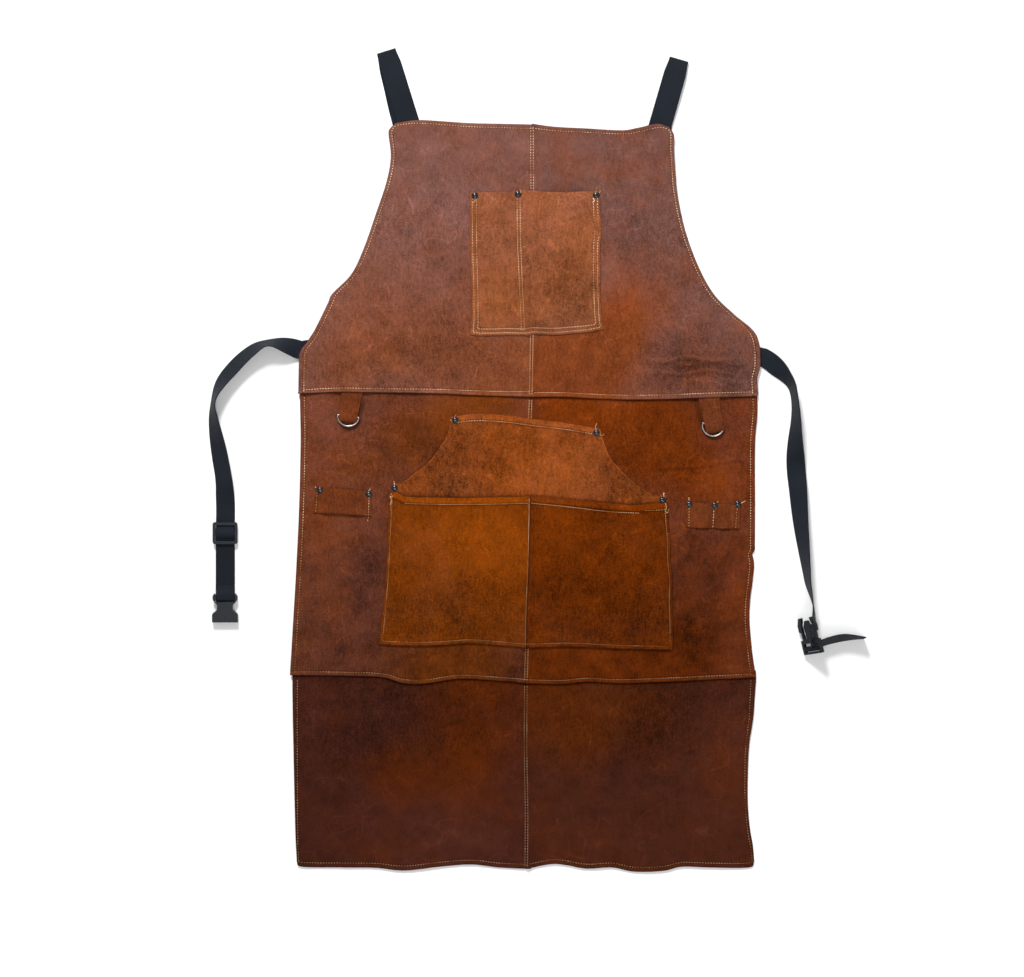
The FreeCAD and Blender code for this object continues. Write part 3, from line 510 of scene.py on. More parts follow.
def tube(name, centres, radius, material, sides=8):
    """Round rod along a 3-D line."""
    c = np.array(centres, float)
    t = np.gradient(c, axis=0)
    t /= np.linalg.norm(t, axis=1)[:, None]
    n = np.cross(t, (0.0, 0.0, 1.0))
    n /= np.linalg.norm(n, axis=1)[:, None]
    b = np.cross(n, t)
    a = (np.arange(sides) / sides * 2 * math.pi)[None, :, None]
    rings = c[:, None] + radius * (np.cos(a) * n[:, None] + np.sin(a) * b[:, None])
    return new_piece(name, rings.reshape(-1, 3), tube_faces(len(c), sides), material)


def join(name, pieces):
    """One object out of several."""
    bpy.ops.object.select_all(action="DESELECT")
    for p in pieces:
        p.select_set(True)
    bpy.context.view_layer.objects.active = pieces[0]
    bpy.ops.object.join()
    pieces[0].name = name
    pieces[0].data.name = name
    return pieces[0]


# Webbing

WEB_PROFILE = np.array([-1.0, -0.985, -0.93, -0.86, -0.6, -0.3, 0.0, 0.3, 0.6, 0.86, 0.93, 0.985, 1.0])
WEB_FAT = np.array([0.35, 0.8, 1.06, 0.94, 1.0, 1.0, 1.0, 1.0, 1.0, 0.94, 1.06, 0.8, 0.35])


def ribbon(name, centres, sides, width, material, thickness=WEB):
    """Flat band along 3-D centres, sides being the unit vectors across it; the width may change along it."""
    c, s = np.array(centres, float), np.array(sides, float)
    width = np.broadcast_to(np.asarray(width, float), (len(c),))
    s /= np.linalg.norm(s, axis=1)[:, None]
    t = np.gradient(c, axis=0)
    t /= np.linalg.norm(t, axis=1)[:, None]
    n = np.cross(t, s)
    n /= np.linalg.norm(n, axis=1)[:, None]
    m = len(WEB_PROFILE)
    across = s[:, None] * (WEB_PROFILE[None, :] * width[:, None] / 2)[:, :, None]
    fat = n[:, None] * (WEB_FAT * thickness / 2)[None, :, None]
    ring = np.concatenate([c[:, None] + across + fat, (c[:, None] + across - fat)[:, ::-1]], axis=1)
    piece = new_piece(name, ring.reshape(-1, 3), tube_faces(len(c), 2 * m), material)
    mesh = piece.data
    uv = mesh.uv_layers.new(name="webbing")
    profile = np.concatenate([WEB_PROFILE, WEB_PROFILE[::-1]])
    u = (profile[None, :] * width[:, None] / 2).ravel()
    v = np.repeat(lengths(c), 2 * m)
    loops = np.empty(len(mesh.loops), int)
    mesh.loops.foreach_get("vertex_index", loops)
    uv.data.foreach_set("uv", (np.stack([u[loops], v[loops]], axis=1) * MM).ravel())
    return piece


def route_line(points, z):
    """Points of the NURBS curve whose control points are the route's."""
    curve = bpy.data.curves.new("route", "CURVE")
    curve.dimensions = "3D"
    curve.resolution_u = 24
    spline = curve.splines.new("NURBS")
    spline.points.add(len(points) - 1)
    for k, (x, y) in enumerate(points):
        spline.points[k].co = (x * MM, y * MM, z * MM, 1)
    spline.order_u = 3
    spline.use_endpoint_u = True
    holder = bpy.data.objects.new("route", curve)
    mesh = bpy.data.meshes.new_from_object(holder)
    line = np.array([v.co for v in mesh.vertices]) / MM
    bpy.data.objects.remove(holder)
    return line


def twisted(line, twist, step=2.5, width=WAIST_WEB):
    """Centres and side vectors of webbing laid along a route.

    Each row of twist is a distance along it, the sideways offset to its left, and its lean in degrees.
    """
    total = lengths(line)[-1]
    t = np.linspace(0, 1, int(total / step) + 1)
    c = sample(line, t)
    tangent = np.gradient(c, axis=0)
    tangent[:, 2] = 0
    tangent /= np.linalg.norm(tangent, axis=1)[:, None]
    left = np.stack([-tangent[:, 1], tangent[:, 0], np.zeros(len(c))], axis=1)
    rows = curve_through(twist)
    offset = eased(np.interp(t * total, rows[:, 0], rows[:, 1]))
    lean = np.radians(eased(np.interp(t * total, rows[:, 0], rows[:, 2])))
    up = np.array([0.0, 0.0, 1.0])
    side = left * np.cos(lean)[:, None] + up * np.sin(lean)[:, None]
    centre = c + left * offset[:, None]
    centre[:, 2] = width / 2 * np.abs(np.sin(lean)) + WEB / 2 * np.abs(np.cos(lean)) + 0.1
    return centre, side


def eased(values, rounds=3):
    """The values with their corners rounded off."""
    for _ in range(rounds):
        padded = np.concatenate([values[:1], values, values[-1:]])
        values = 0.25 * padded[:-2] + 0.5 * padded[1:-1] + 0.25 * padded[2:]
    return values


# Materials

def nodes_of(name):
    material = bpy.data.materials.new(name)
    material.use_nodes = True
    tree = material.node_tree
    return material, tree, tree.nodes["Principled BSDF"]


def add_node(tree, kind, inputs, **settings):
    """Node with its settings, each input joined to an output or set to a constant."""
    node = tree.nodes.new("ShaderNode" + kind)
    for key, value in settings.items():
        setattr(node, key, value)
    for socket, value in inputs.items():
        if hasattr(value, "is_linked"):
            tree.links.new(value, node.inputs[socket])
        elif value is not None:
            node.inputs[socket].default_value = value
    return node


def place_in(tree):
    return add_node(tree, "TexCoord", {}).outputs["Object"]


def split(tree, vector):
    return add_node(tree, "SeparateXYZ", {0: vector}).outputs


def noise(tree, vector, scale, detail=4.0, rough=0.55):
    inputs = {"Scale": scale, "Detail": detail, "Roughness": rough, "Vector": vector}
    return add_node(tree, "TexNoise", inputs).outputs["Fac"]


def ramp(tree, fac, stops):
    node = add_node(tree, "ValToRGB", {"Fac": fac})
    elements = node.color_ramp.elements
    elements[0].position, elements[0].color = stops[0][0], (*stops[0][1], 1)
    elements[1].position, elements[1].color = stops[-1][0], (*stops[-1][1], 1)
    for place, colour in stops[1:-1]:
        elements.new(place).color = (*colour, 1)
    return node.outputs["Color"]


def grey(tree, value, low, high):
    """A 0 to 1 value as a grey from low to high."""
    return ramp(tree, value, [(0.0, (low,) * 3), (1.0, (high,) * 3)])


def mix(tree, kind, fac, a, b):
    a, b = ((*c, 1) if isinstance(c, tuple) else c for c in (a, b))
    node = add_node(tree, "Mix", {}, data_type="RGBA", blend_type=kind)
    for socket, value in (("Factor", fac), ("A", a), ("B", b)):
        if hasattr(value, "is_linked"):
            tree.links.new(value, node.inputs[socket])
        else:
            node.inputs[socket].default_value = value
    return node.outputs["Result"]


def tinted(tree, colour, by):
    return mix(tree, "MULTIPLY", 1.0, colour, by)


def maths(tree, kind, a, b=0.0, clamp=False):
    return add_node(tree, "Math", {0: a, 1: b}, operation=kind, use_clamp=clamp).outputs[0]


def plus(tree, a, b, clamp=False):
    return maths(tree, "ADD", a, b, clamp)


def minus(tree, a, b, clamp=False):
    return maths(tree, "SUBTRACT", a, b, clamp)


def times(tree, a, b, clamp=False):
    return maths(tree, "MULTIPLY", a, b, clamp)


def swing(tree, value, amount):
    """A noise's departure from its middle, scaled."""
    return times(tree, minus(tree, value, 0.5), amount)


def eased_range(tree, value, low, high, least=0.0):
    """The least at low, 1 at high, with soft ends."""
    inputs = {"Value": value, "From Min": low, "From Max": high, "To Min": least}
    return add_node(tree, "MapRange", inputs, interpolation_type="SMOOTHSTEP").outputs[0]


def finish(tree, shader, colour, roughness, bump, constants):
    """Join colour, roughness and bump (height, strength, distance), and set the shader's constants."""
    height, strength, distance = bump
    bumped = add_node(tree, "Bump", {"Strength": strength, "Distance": distance, "Height": height})
    for socket, value in (("Base Color", colour), ("Roughness", roughness), ("Normal", bumped.outputs[0])):
        tree.links.new(value, shader.inputs[socket])
    for socket, value in constants.items():
        shader.inputs[socket].default_value = value


LIGHT_SHARE = 0.73


def linear(*rgb):
    """Scene-linear colour of a swatch given in 0 to 255."""
    return tuple(LIGHT_SHARE * (((v / 255 + 0.055) / 1.055) ** 2.4 if v > 10 else v / 255 / 12.92)
                 for v in rgb)


def near(tree, vector, x, y, radius, wander):
    """1 close to a place, falling to 0 at the radius, with a ragged outline."""
    away = add_node(tree, "VectorMath", {0: vector, 1: (x * MM, y * MM, 0.003)}, operation="DISTANCE")
    ragged = swing(tree, wander, radius * MM * 1.1)
    return eased_range(tree, plus(tree, away.outputs["Value"], ragged), radius * MM, radius * MM * 0.15)


def add_spots(tree, level, kind, spots, place, wander):
    """Level raised (ADD) or lowered (SUBTRACT) by each spot's amount."""
    for x, y, radius, amount in spots:
        level = maths(tree, kind, level, times(tree, near(tree, place, x, y, radius, wander), amount))
    return level


def scars(tree, vector, nap):
    """Thin pale lines between warped cells, shown in places only."""
    colours = add_node(tree, "TexNoise", {"Scale": 16.0, "Vector": vector}).outputs["Color"]
    warped = add_node(tree, "VectorMath", {0: colours, 1: (0.05, 0.05, 0.0), 2: vector},
                      operation="MULTIPLY_ADD")
    cells = add_node(tree, "TexVoronoi", {"Scale": 30.0, "Vector": warped.outputs[0]},
                     feature="DISTANCE_TO_EDGE")
    thin = minus(tree, 1.0, times(tree, cells.outputs["Distance"], 26.0), clamp=True)
    shown = times(tree, thin, maths(tree, "GREATER_THAN", noise(tree, vector, 21.0, 2.0), 0.53))
    return grey(tree, times(tree, shown, nap), 1.0, 1.55)


def suede(name, cool, warm, warm_share, warm_spots=(), dark_spots=(), seed=0.0, grain=1.0,
          fade=(0, -1, 1.0)):
    """Split leather: cool and warm dye in ragged areas, cloudy nap, short fibres, scars, and each sheet's
    painted shade, painted highlight and edge wear.

    A spot is (x, y, radius, amount), in millimetres. Grain fades between two heights to a share of itself.
    """
    material, tree, shader = nodes_of(name)
    place = place_in(tree)
    vector = add_node(tree, "VectorMath", {0: place, 1: (seed, seed * 1.7, 0)}, operation="ADD").outputs[0]
    ragged = noise(tree, vector, 13.0, 6.0, 0.68)
    warmth = add_spots(tree, plus(tree, swing(tree, ragged, 2.4), warm_share), "ADD", warm_spots, place,
                       ragged)
    colour = mix(tree, "MIX", plus(tree, warmth, 0.0, clamp=True), linear(*cool), linear(*warm))
    blotch = noise(tree, vector, 38.0, 5.0, 0.66)
    level = add_spots(tree, plus(tree, 0.5, swing(tree, blotch, grain)), "SUBTRACT", dark_spots, place,
                      ragged)
    streaked = add_node(tree, "Mapping", {"Vector": vector, "Scale": (1.0, 0.42, 1.0),
                                          "Rotation": (0, 0, 0.6 + seed)})
    nap = noise(tree, streaked.outputs[0], 300.0, 4.0, 0.75)
    speck = noise(tree, vector, 640.0, 3.0, 0.7)
    fibres = plus(tree, swing(tree, nap, 1.2 * grain), swing(tree, speck, 1.7 * grain))
    strength = eased_range(tree, split(tree, place)["Y"], fade[1] * MM, fade[0] * MM, fade[2])
    level = plus(tree, level, times(tree, fibres, strength))
    level = maths(tree, "MAXIMUM", plus(tree, times(tree, level, 1.2), 0.42), 0.22)
    colour = tinted(tree, tinted(tree, colour, level), scars(tree, vector, nap))
    # Painted shade and painted highlight, with edge wear, stored per point by each sheet, multiply the colour
    dirt = add_node(tree, "Attribute", {}, attribute_name="dirt")
    colour = tinted(tree, colour, minus(tree, 1.0, dirt.outputs["Fac"]))
    fine = plus(tree, times(tree, nap, 0.9), times(tree, speck, 0.35))
    height = plus(tree, fine, times(tree, blotch, 2.0))
    finish(tree, shader, colour, grey(tree, nap, 0.82, 1.0), (height, 0.75, 0.0014 * grain),
           {"Specular IOR Level": 0.03, "Sheen Weight": 0.01, "Sheen Roughness": 0.5})
    return material


def webbing_material():
    """Woven polypropylene: round warp cords crossed by the weft, in bluish black."""
    material, tree, shader = nodes_of("webbing")
    place = place_in(tree)
    uv = split(tree, add_node(tree, "TexCoord", {}).outputs["UV"])
    across = times(tree, uv["X"], 2 * math.pi / 0.0019)
    along = times(tree, uv["Y"], 2 * math.pi / 0.0026)
    warp = maths(tree, "ABSOLUTE", maths(tree, "SINE", times(tree, across, 0.5)))
    phase = times(tree, maths(tree, "FLOOR", maths(tree, "DIVIDE", across, 2 * math.pi)), math.pi)
    weft = maths(tree, "SINE", plus(tree, along, phase))
    height = plus(tree, warp, times(tree, weft, 0.45))
    fuzz = noise(tree, place, 1800.0, 2.0, 0.7)
    dust = noise(tree, place, 30.0, 4.0, 0.6)
    # Colour lighter on the cords' tops and darker in the grooves: painted highlight and painted shade of the
    # weave
    level = times(tree, plus(tree, height, 0.5), 0.5, clamp=True)
    colour = ramp(tree, level, [(0.0, (0.002, 0.003, 0.005)), (0.5, (0.006, 0.009, 0.015)),
                                (1.0, (0.012, 0.016, 0.025))])
    colour = tinted(tree, tinted(tree, colour, grey(tree, dust, 0.65, 1.35)), grey(tree, fuzz, 0.75, 1.25))
    finish(tree, shader, colour, grey(tree, fuzz, 0.5, 0.75),
           (plus(tree, height, times(tree, fuzz, 0.3)), 0.8, 0.0004),
           {"Specular IOR Level": 0.14, "Sheen Weight": 0.02})
    return material


def thread_material():
    """Beige bonded thread, duller in dirty patches and darker towards the bottom of the apron."""
    material, tree, shader = nodes_of("thread")
    place = place_in(tree)
    soil = noise(tree, place, 38.0, 5.0, 0.65)
    ply = noise(tree, place, 2600.0, 1.0)
    colour = ramp(tree, soil, [(0.30, (0.26, 0.11, 0.035)), (0.44, (0.55, 0.28, 0.11)),
                               (0.56, (0.85, 0.55, 0.30)), (0.68, (0.98, 0.82, 0.60))])
    down = eased_range(tree, split(tree, place)["Y"], -0.34, 0.05)
    colour = tinted(tree, tinted(tree, colour, grey(tree, down, 0.40, 1.0)), grey(tree, ply, 0.85, 1.1))
    tree.links.new(colour, shader.inputs["Base Color"])
    tree.links.new(grey(tree, ply, 0.6, 0.85), shader.inputs["Roughness"])
    shader.inputs["Specular IOR Level"].default_value = 0.06
    return material


def lacquered(name, colour, reflect):
    """Blackened polished steel: deep colour under a sharp reflection."""
    material, tree, shader = nodes_of(name)
    place = place_in(tree)
    marks = noise(tree, place, 900.0, 3.0, 0.6)
    worn = tinted(tree, colour, grey(tree, noise(tree, place, 260.0, 3.0), 0.5, 1.6))
    finish(tree, shader, worn, grey(tree, marks, 0.10, 0.24), (marks, 0.15, 0.0001), {"IOR": reflect})
    return material


def metal(name, colour, rough_low, rough_high, scratch):
    """Plated metal with faint handling marks."""
    material, tree, shader = nodes_of(name)
    place = place_in(tree)
    marks = noise(tree, place, 700.0, 4.0, 0.65)
    tarnished = tinted(tree, colour, grey(tree, noise(tree, place, 180.0, 3.0), 0.85, 1.1))
    roughness = grey(tree, marks, rough_low, rough_high)
    finish(tree, shader, tarnished, roughness, (marks, 0.25, scratch), {"Metallic": 1.0})
    return material


def plastic_material():
    """Moulded black acetal with a fine spark-eroded texture and lightly scuffed high spots."""
    material, tree, shader = nodes_of("black_plastic")
    place = place_in(tree)
    grain = noise(tree, place, 2200.0, 3.0, 0.7)
    scuff = noise(tree, place, 120.0, 5.0, 0.7)
    colour = ramp(tree, scuff, [(0.35, (0.005, 0.006, 0.009)), (0.7, (0.011, 0.013, 0.018))])
    finish(tree, shader, colour, grey(tree, scuff, 0.30, 0.55), (grain, 0.3, 0.0001),
           {"Specular IOR Level": 0.3})
    return material


# Each leather's cool and warm colour, share of the warm one, warm spots, dark spots, seed, grain and fade;
# the panels are darker towards the skirt
MATERIALS = {
    "bib_left": suede("suede_bib_left", (130, 86, 76), (134, 73, 44), 0.15,
                      [(-25, 120, 170, 0.9), (-190, 170, 130, 0.6), (-60, 250, 70, 0.3),
                       (-260, 110, 80, 0.4)],
                      [(-140, 140, 90, 0.12), (-80, 165, 70, 0.12), (-70, 420, 90, -0.04),
                       (-285, 95, 40, 0.08), (-220, 110, 70, 0.08)],
                      0.0, 1.0, (300, 420, 0.62)),
    "bib_right": suede("suede_bib_right", (124, 82, 72), (131, 65, 31), 0.15,
                       [(55, 115, 150, 1.0), (150, 215, 80, 0.6), (120, 160, 70, 0.4),
                        (230, 112, 80, 0.35)],
                       [(195, 122, 60, 0.26), (255, 120, 60, 0.20), (290, 115, 50, 0.12),
                        (225, 165, 50, 0.12), (150, 300, 70, 0.12), (240, 260, 60, 0.14),
                        (125, 222, 70, -0.18), (45, 235, 60, 0.10)],
                       3.0, 0.95, (300, 420, 0.65)),
    "middle_left": suede("suede_middle_left", (106, 58, 42), (110, 52, 13), 0.24,
                         [(-95, -275, 120, 0.9), (-140, 25, 80, 0.6), (-60, 70, 90, 0.7),
                          (-215, -10, 50, 0.3)],
                         [(-280, -190, 90, 0.06), (-180, -280, 110, 0.26), (-60, -280, 80, 0.22),
                          (5, -285, 60, 0.3), (-260, 70, 70, -0.26), (-95, 74, 70, -0.28),
                          (-15, 76, 60, -0.24), (-265, -15, 75, -0.24), (-262, -85, 60, -0.20),
                          (-212, -160, 55, 0.24), (-198, -120, 40, 0.16), (-286, -255, 60, 0.16),
                          (-120, 20, 50, 0.14)], 5.0, 1.05, (-20, -200, 0.72)),
    "middle_right": suede("suede_middle_right", (107, 54, 34), (113, 48, 7), 0.34,
                          [(60, -275, 140, 0.9), (200, -260, 100, 0.7), (165, 30, 100, 0.9),
                           (60, 60, 80, 0.7), (235, -25, 60, 0.5)],
                          [(215, -205, 100, 0.26), (200, -272, 110, 0.26), (60, -280, 140, 0.24),
                           (262, -30, 45, -0.34), (64, 76, 80, -0.22), (120, 76, 40, -0.2),
                           (235, -130, 60, 0.2), (285, -250, 50, 0.16), (120, -5, 40, 0.08),
                           (270, 60, 60, -0.08), (160, 10, 60, 0.06)], 8.0, 1.1, (-20, -180, 0.62)),
    "skirt_left": suede("suede_skirt_left", (69, 33, 23), (86, 35, 5), 0.04,
                        [(-60, -325, 130, 0.9), (-170, -415, 70, 0.7), (-90, -420, 80, 0.6)],
                        [(-170, -320, 140, 0.16), (-225, -400, 70, 0.10), (-150, -520, 150, -0.24),
                         (-30, -505, 100, -0.12), (-50, -440, 90, -0.14), (-290, -330, 50, -0.10)], 11.0,
                        1.05, (-350, -450, 0.45)),
    "skirt_right": suede("suede_skirt_right", (72, 34, 22), (88, 38, 7), 0.07,
                         [(35, -325, 110, 0.9), (150, -330, 90, 0.6), (80, -380, 60, 0.4)],
                         [(182, -315, 90, 0.24), (150, -385, 70, 0.14), (280, -380, 80, -0.30),
                          (275, -450, 80, -0.18), (60, -520, 140, -0.12), (230, -520, 110, -0.12)], 14.0,
                         1.0, (-350, -450, 0.45)),
    "chest": suede("suede_chest", (151, 89, 62), (146, 82, 46), 0.40,
                   [(-40, 215, 70, 0.6), (60, 240, 80, 0.5)],
                   [(90, 200, 50, 0.10), (-8, 300, 25, 0.10), (40, 190, 60, 0.12), (35, 240, 60, 0.12),
                    (20, 340, 90, -0.10), (80, 300, 60, -0.06)], 17.0, 1.1),
    "hand": suede("suede_hand", (138, 73, 38), (136, 66, 20), 0.55, [(0, 0, 120, 0.4)],
                  [(-105, -22, 60, 0.22), (-75, 14, 40, 0.12), (25, -25, 75, -0.28), (135, -40, 50, 0.20),
                   (-40, 40, 40, -0.10), (50, 10, 50, -0.05)], 20.0, 1.3),
    "pocket_left": suede("suede_pocket_left", (112, 56, 23), (117, 53, 4), 0.80,
                         [(-20, -110, 120, 0.4), (-60, -70, 80, 0.3)],
                         [(-60, -85, 110, -0.36), (-10, -115, 80, -0.22), (-160, -75, 60, -0.20),
                          (-130, -140, 60, -0.20), (-100, -215, 110, 0.10), (-60, -190, 60, 0.06)], 23.0,
                         1.2),
    "pocket_right": suede("suede_pocket_right", (103, 47, 16), (104, 43, 1), 0.80, [(60, -130, 100, 0.4)],
                          [(35, -95, 70, -0.34), (150, -80, 60, -0.18), (100, -210, 110, 0.10),
                           (165, -200, 60, 0.10), (110, -70, 60, 0.06)], 26.0, 1.3),
    "trim": suede("suede_trim", (110, 57, 34), (116, 55, 20), 0.45, seed=29.0, grain=1.0),
    "thread": thread_material(),
    "webbing": webbing_material(),
    "plastic": plastic_material(),
    "rivet": lacquered("rivet_metal", (0.004, 0.005, 0.007), 1.6),
    "nickel": metal("nickel", (0.34, 0.33, 0.31), 0.30, 0.36, 0.000002),
}


# Leather body

def seam_points(y0, y1, shift, count=6):
    return [(float(seam_x(y)) + shift, float(y)) for y in np.linspace(y0, y1, count)]


def edge_shade(patch, sides, inset=HEM, low=0.80):
    """Painted shade in the stitch dents, a painted highlight on the hem's roll, and darker handled edges."""
    shade = np.ones_like(patch.x)
    for side in sides:
        d = patch.away(side)
        # Painted shade in the stitch dent
        shade *= 1 - (1 - low) * bump(d - inset, 1.3)
        shade *= 1 - 0.16 * np.clip(1 - d / 1.5, 0, 1)
        # Painted highlight on the hem's roll between the edge and the stitches
        shade *= 1 + 0.10 * bump(d - inset / 2, 1.6)
    return shade


def body_half(name, side, parts, base, sides, y0, y1):
    """One of the six body panels. Its inner edge runs under or over the centre seam."""
    bottom, top, outer = parts
    lap = side == "right"
    shift = -0.2 if lap else 6.0
    inner = seam_points(y0, y1, shift)
    bottom, top = list(bottom), list(top)
    step = 1.9 if base is bib_base else GRID_STEP
    if lap:
        bottom[0] = inner[0]
        top[0] = inner[-1]
        patch = Patch(bottom, outer, top, inner, rows=sides, step=step)
    else:
        bottom[-1] = inner[0]
        top[-1] = inner[-1]
        patch = Patch(bottom, inner, top, outer, rows=sides, step=step)
    z = base(patch.x, patch.y) + waves(patch.x, patch.y) + ridge(patch.x, patch.y, lap)
    hemmed = [s for s in sides if s != ("l" if lap else "r")]
    for s in hemmed:
        z = z + hem(patch.away(s), inset=LOW_HEM if s == "b" and base is middle_base else HEM)
    if base is not flat_base:
        z = z + lifted(patch.x, patch.bottom, 1.7 if base is bib_base else 1.1)
    shade = edge_shade(patch, hemmed)
    shade *= relief_shade(patch.x, patch.y, CREASES)
    if base is middle_base:
        # Painted shadow beside the D-ring tabs
        shade *= 1 - 0.5 * tab_shadow(patch.x, patch.y)
        # Painted shadow under the bib's lapped lower edge
        shade *= 1 - 0.5 * bump(np.maximum(waist_edge(patch.x) - patch.y, 0), 2.6)
    if base is flat_base:
        # Painted shadow under the middle panel's lapped lower edge
        shade *= 1 - 0.5 * bump(np.maximum(lower_edge(patch.x) - patch.y, 0), 2.6)
    piece = leather_sheet(name, patch, z, MATERIALS[name.replace("_panel", "")], shade)
    return piece, patch


def make_body():
    pieces, patches = {}, {}
    plan = {
        "bib_panel_left": ("left", (WAIST_LEFT, BIB_TOP_LEFT, BIB_LEFT), bib_base, "lrbt", 83.5, 445),
        "bib_panel_right": ("right", (WAIST_RIGHT, BIB_TOP_RIGHT, BIB_RIGHT), bib_base, "lrbt", 83.5, 446),
        "middle_panel_left": ("left", (LOWER_LEFT, [(-300, 96), (-150, 96), (6, 94)], MIDDLE_LEFT),
                              middle_base, "lrb", -297, 94),
        "middle_panel_right": ("right", (LOWER_RIGHT, [(6, 94), (150, 92), (308, 94)], MIDDLE_RIGHT),
                               middle_base, "lrb", -297, 94),
        "skirt_panel_left": ("left", (HEM_LEFT, [(-310, -280), (-150, -281), (0, -283)], SKIRT_LEFT),
                             flat_base, "lrb", -544, -283),
        "skirt_panel_right": ("right", (HEM_RIGHT, [(0, -283), (150, -283), (306, -280)], SKIRT_RIGHT),
                              flat_base, "lrb", -544, -283),
    }
    for name, (side, parts, base, sides, y0, y1) in plan.items():
        bottom, top, outer = (list(p) for p in parts)
        outer[0] = bottom[0] if side == "left" else bottom[-1]
        outer[-1] = top[0] if side == "left" else top[-1]
        pieces[name], patches[name] = body_half(name, side, (bottom, top, outer), base, sides, y0, y1)
        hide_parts(name)
    return pieces, patches


def flat_base(x, y):
    return LEATHER + 0.0 * x


def body_stitches(pieces, patches):
    trees = {k: surface_of([pieces[k + "_panel_left"], pieces[k + "_panel_right"]])
             for k in ("bib", "middle", "skirt")}
    rows = {"bib": [], "middle": [], "skirt": []}
    for side in ("left", "right"):
        s = side[0]
        first, last = (HEM, 4) if side == "left" else (4, HEM)
        bib = patches["bib_panel_" + side]
        rows["bib"] += [bib.line(s, HEM, 3, HEM), bib.line("t", HEM, first, last),
                        bib.line("b", HEM, first, last)]
        middle = patches["middle_panel_" + side]
        rows["middle"] += [middle.line(s, HEM, 2, 12), middle.line("b", LOW_HEM, first, last)]
        skirt = patches["skirt_panel_" + side]
        rows["skirt"] += [skirt.line(s, HEM, HEM, 12), skirt.line("b", HEM, first, last)]
    for shift in (-1.75, 1.6):
        rows["bib"].append(seam_points(86, 442, shift, 60))
        rows["middle"].append(seam_points(-294, 80, shift, 60))
        rows["skirt"].append(seam_points(-541, -300, shift, 40))
    made = {}
    for k, (body, paths) in enumerate(rows.items()):
        made[body] = stitches(body + "_stitches", trees[body], paths, MATERIALS["thread"], seed=k + 1)
    return made, trees


# Pockets and loops

def puff(patch, sides, reach):
    """Share by which a pocket stands free, from 0 at its sewn sides to 1 a reach inside them."""
    shape = np.ones_like(patch.x)
    for side in sides:
        shape *= smooth((patch.away(side) - 4.0) / reach)
    return shape


def sewn(piece, body, node):
    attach(piece, body)
    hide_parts(node)
    return piece


def chest_pocket():
    patch = Patch(CHEST["bottom"], CHEST["right"], CHEST["top"], CHEST["left"], rows="lrb", step=2.2)
    line = np.array(CHEST_DIVIDER)
    off = patch.x - np.interp(patch.y, line[:, 1], line[:, 0])
    open_share = puff(patch, "lrb", 26) * smooth((np.abs(off) - 3) / 22)
    z = body_top(patch.x, patch.y) + LEATHER + 0.1 + 1.5 * open_share
    z += open_share * 1.4 * smooth(1 - patch.top / 40)
    for d in (patch.left, patch.right, patch.bottom):
        z -= 0.35 * bump(d - 3.7, 0.9) + 0.35 * bump(d - 9.2, 0.9)
    z -= 0.4 * bump(off - 2.0, 1.0) + 0.4 * bump(off + 2.0, 1.0)
    for points, width, depth in CHEST_CREASES:
        z += crease(patch.x, patch.y, points, width, depth)
    painted_relief = relief_shade(patch.x, patch.y, CHEST_CREASES)
    shade = edge_shade(patch, "lrb", 3.7, 0.85) * edge_shade(patch, "lrb", 9.2, 0.85)
    # Painted shade in the divider's stitch dents
    shade *= 1 - 0.12 * (bump(off - 2.0, 1.4) + bump(off + 2.0, 1.4))
    piece = leather_sheet("chest_pocket_leather", patch, z, MATERIALS["chest"], shade * painted_relief)
    sewn(piece, "bib", "chest_pocket")
    rows = []
    for inset in (3.7, 9.2):
        rows += [patch.line("l", inset, inset, 8), patch.line("b", inset, inset, inset)]
    rows += [patch.line("r", 9.2, 9.2, 8), patch.line("r", 3.7, 3.7, 60), patch.line("r", 3.7, 138, 4)]
    for shift in (-2.0, 2.0):
        rows.append([(x + shift, y) for x, y in curve_through(CHEST_DIVIDER)])
    thread = stitches("chest_pocket_stitches", surface_of([piece]), rows, MATERIALS["thread"], seed=11)
    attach(thread, "bib")
    return piece


def hem_shade(patch, low):
    """Painted shade in the stitch line, painted highlight on the fold and painted shadow at the step of a
    folded top hem.
    """
    pale = 1 + 0.28 * smooth(1 - (patch.top - 7.4) / 1.2)
    return edge_shade(patch, "t", POCKET_HEM, low) * pale * (1 - 0.30 * bump(patch.top - 10.4, 1.0))


def hand_height(x, y):
    """Top of the hand-warmer panel under the lower pockets."""
    return body_top(x, y) + LEATHER + 0.1


def mouth_shadow(x, y):
    """1 along the painted shadow where a lower pocket's mouth lies against the panel behind it."""
    line = np.array(POCKET_LEFT["top"][:-1] + POCKET_RIGHT["top"])
    above = y - np.interp(x, line[:, 0], line[:, 1])
    inside = (x > line[0, 0]) & (x < line[-1, 0])
    return np.where(inside, bump(np.maximum(above - 0.4, 0), 2.2), 0.0)


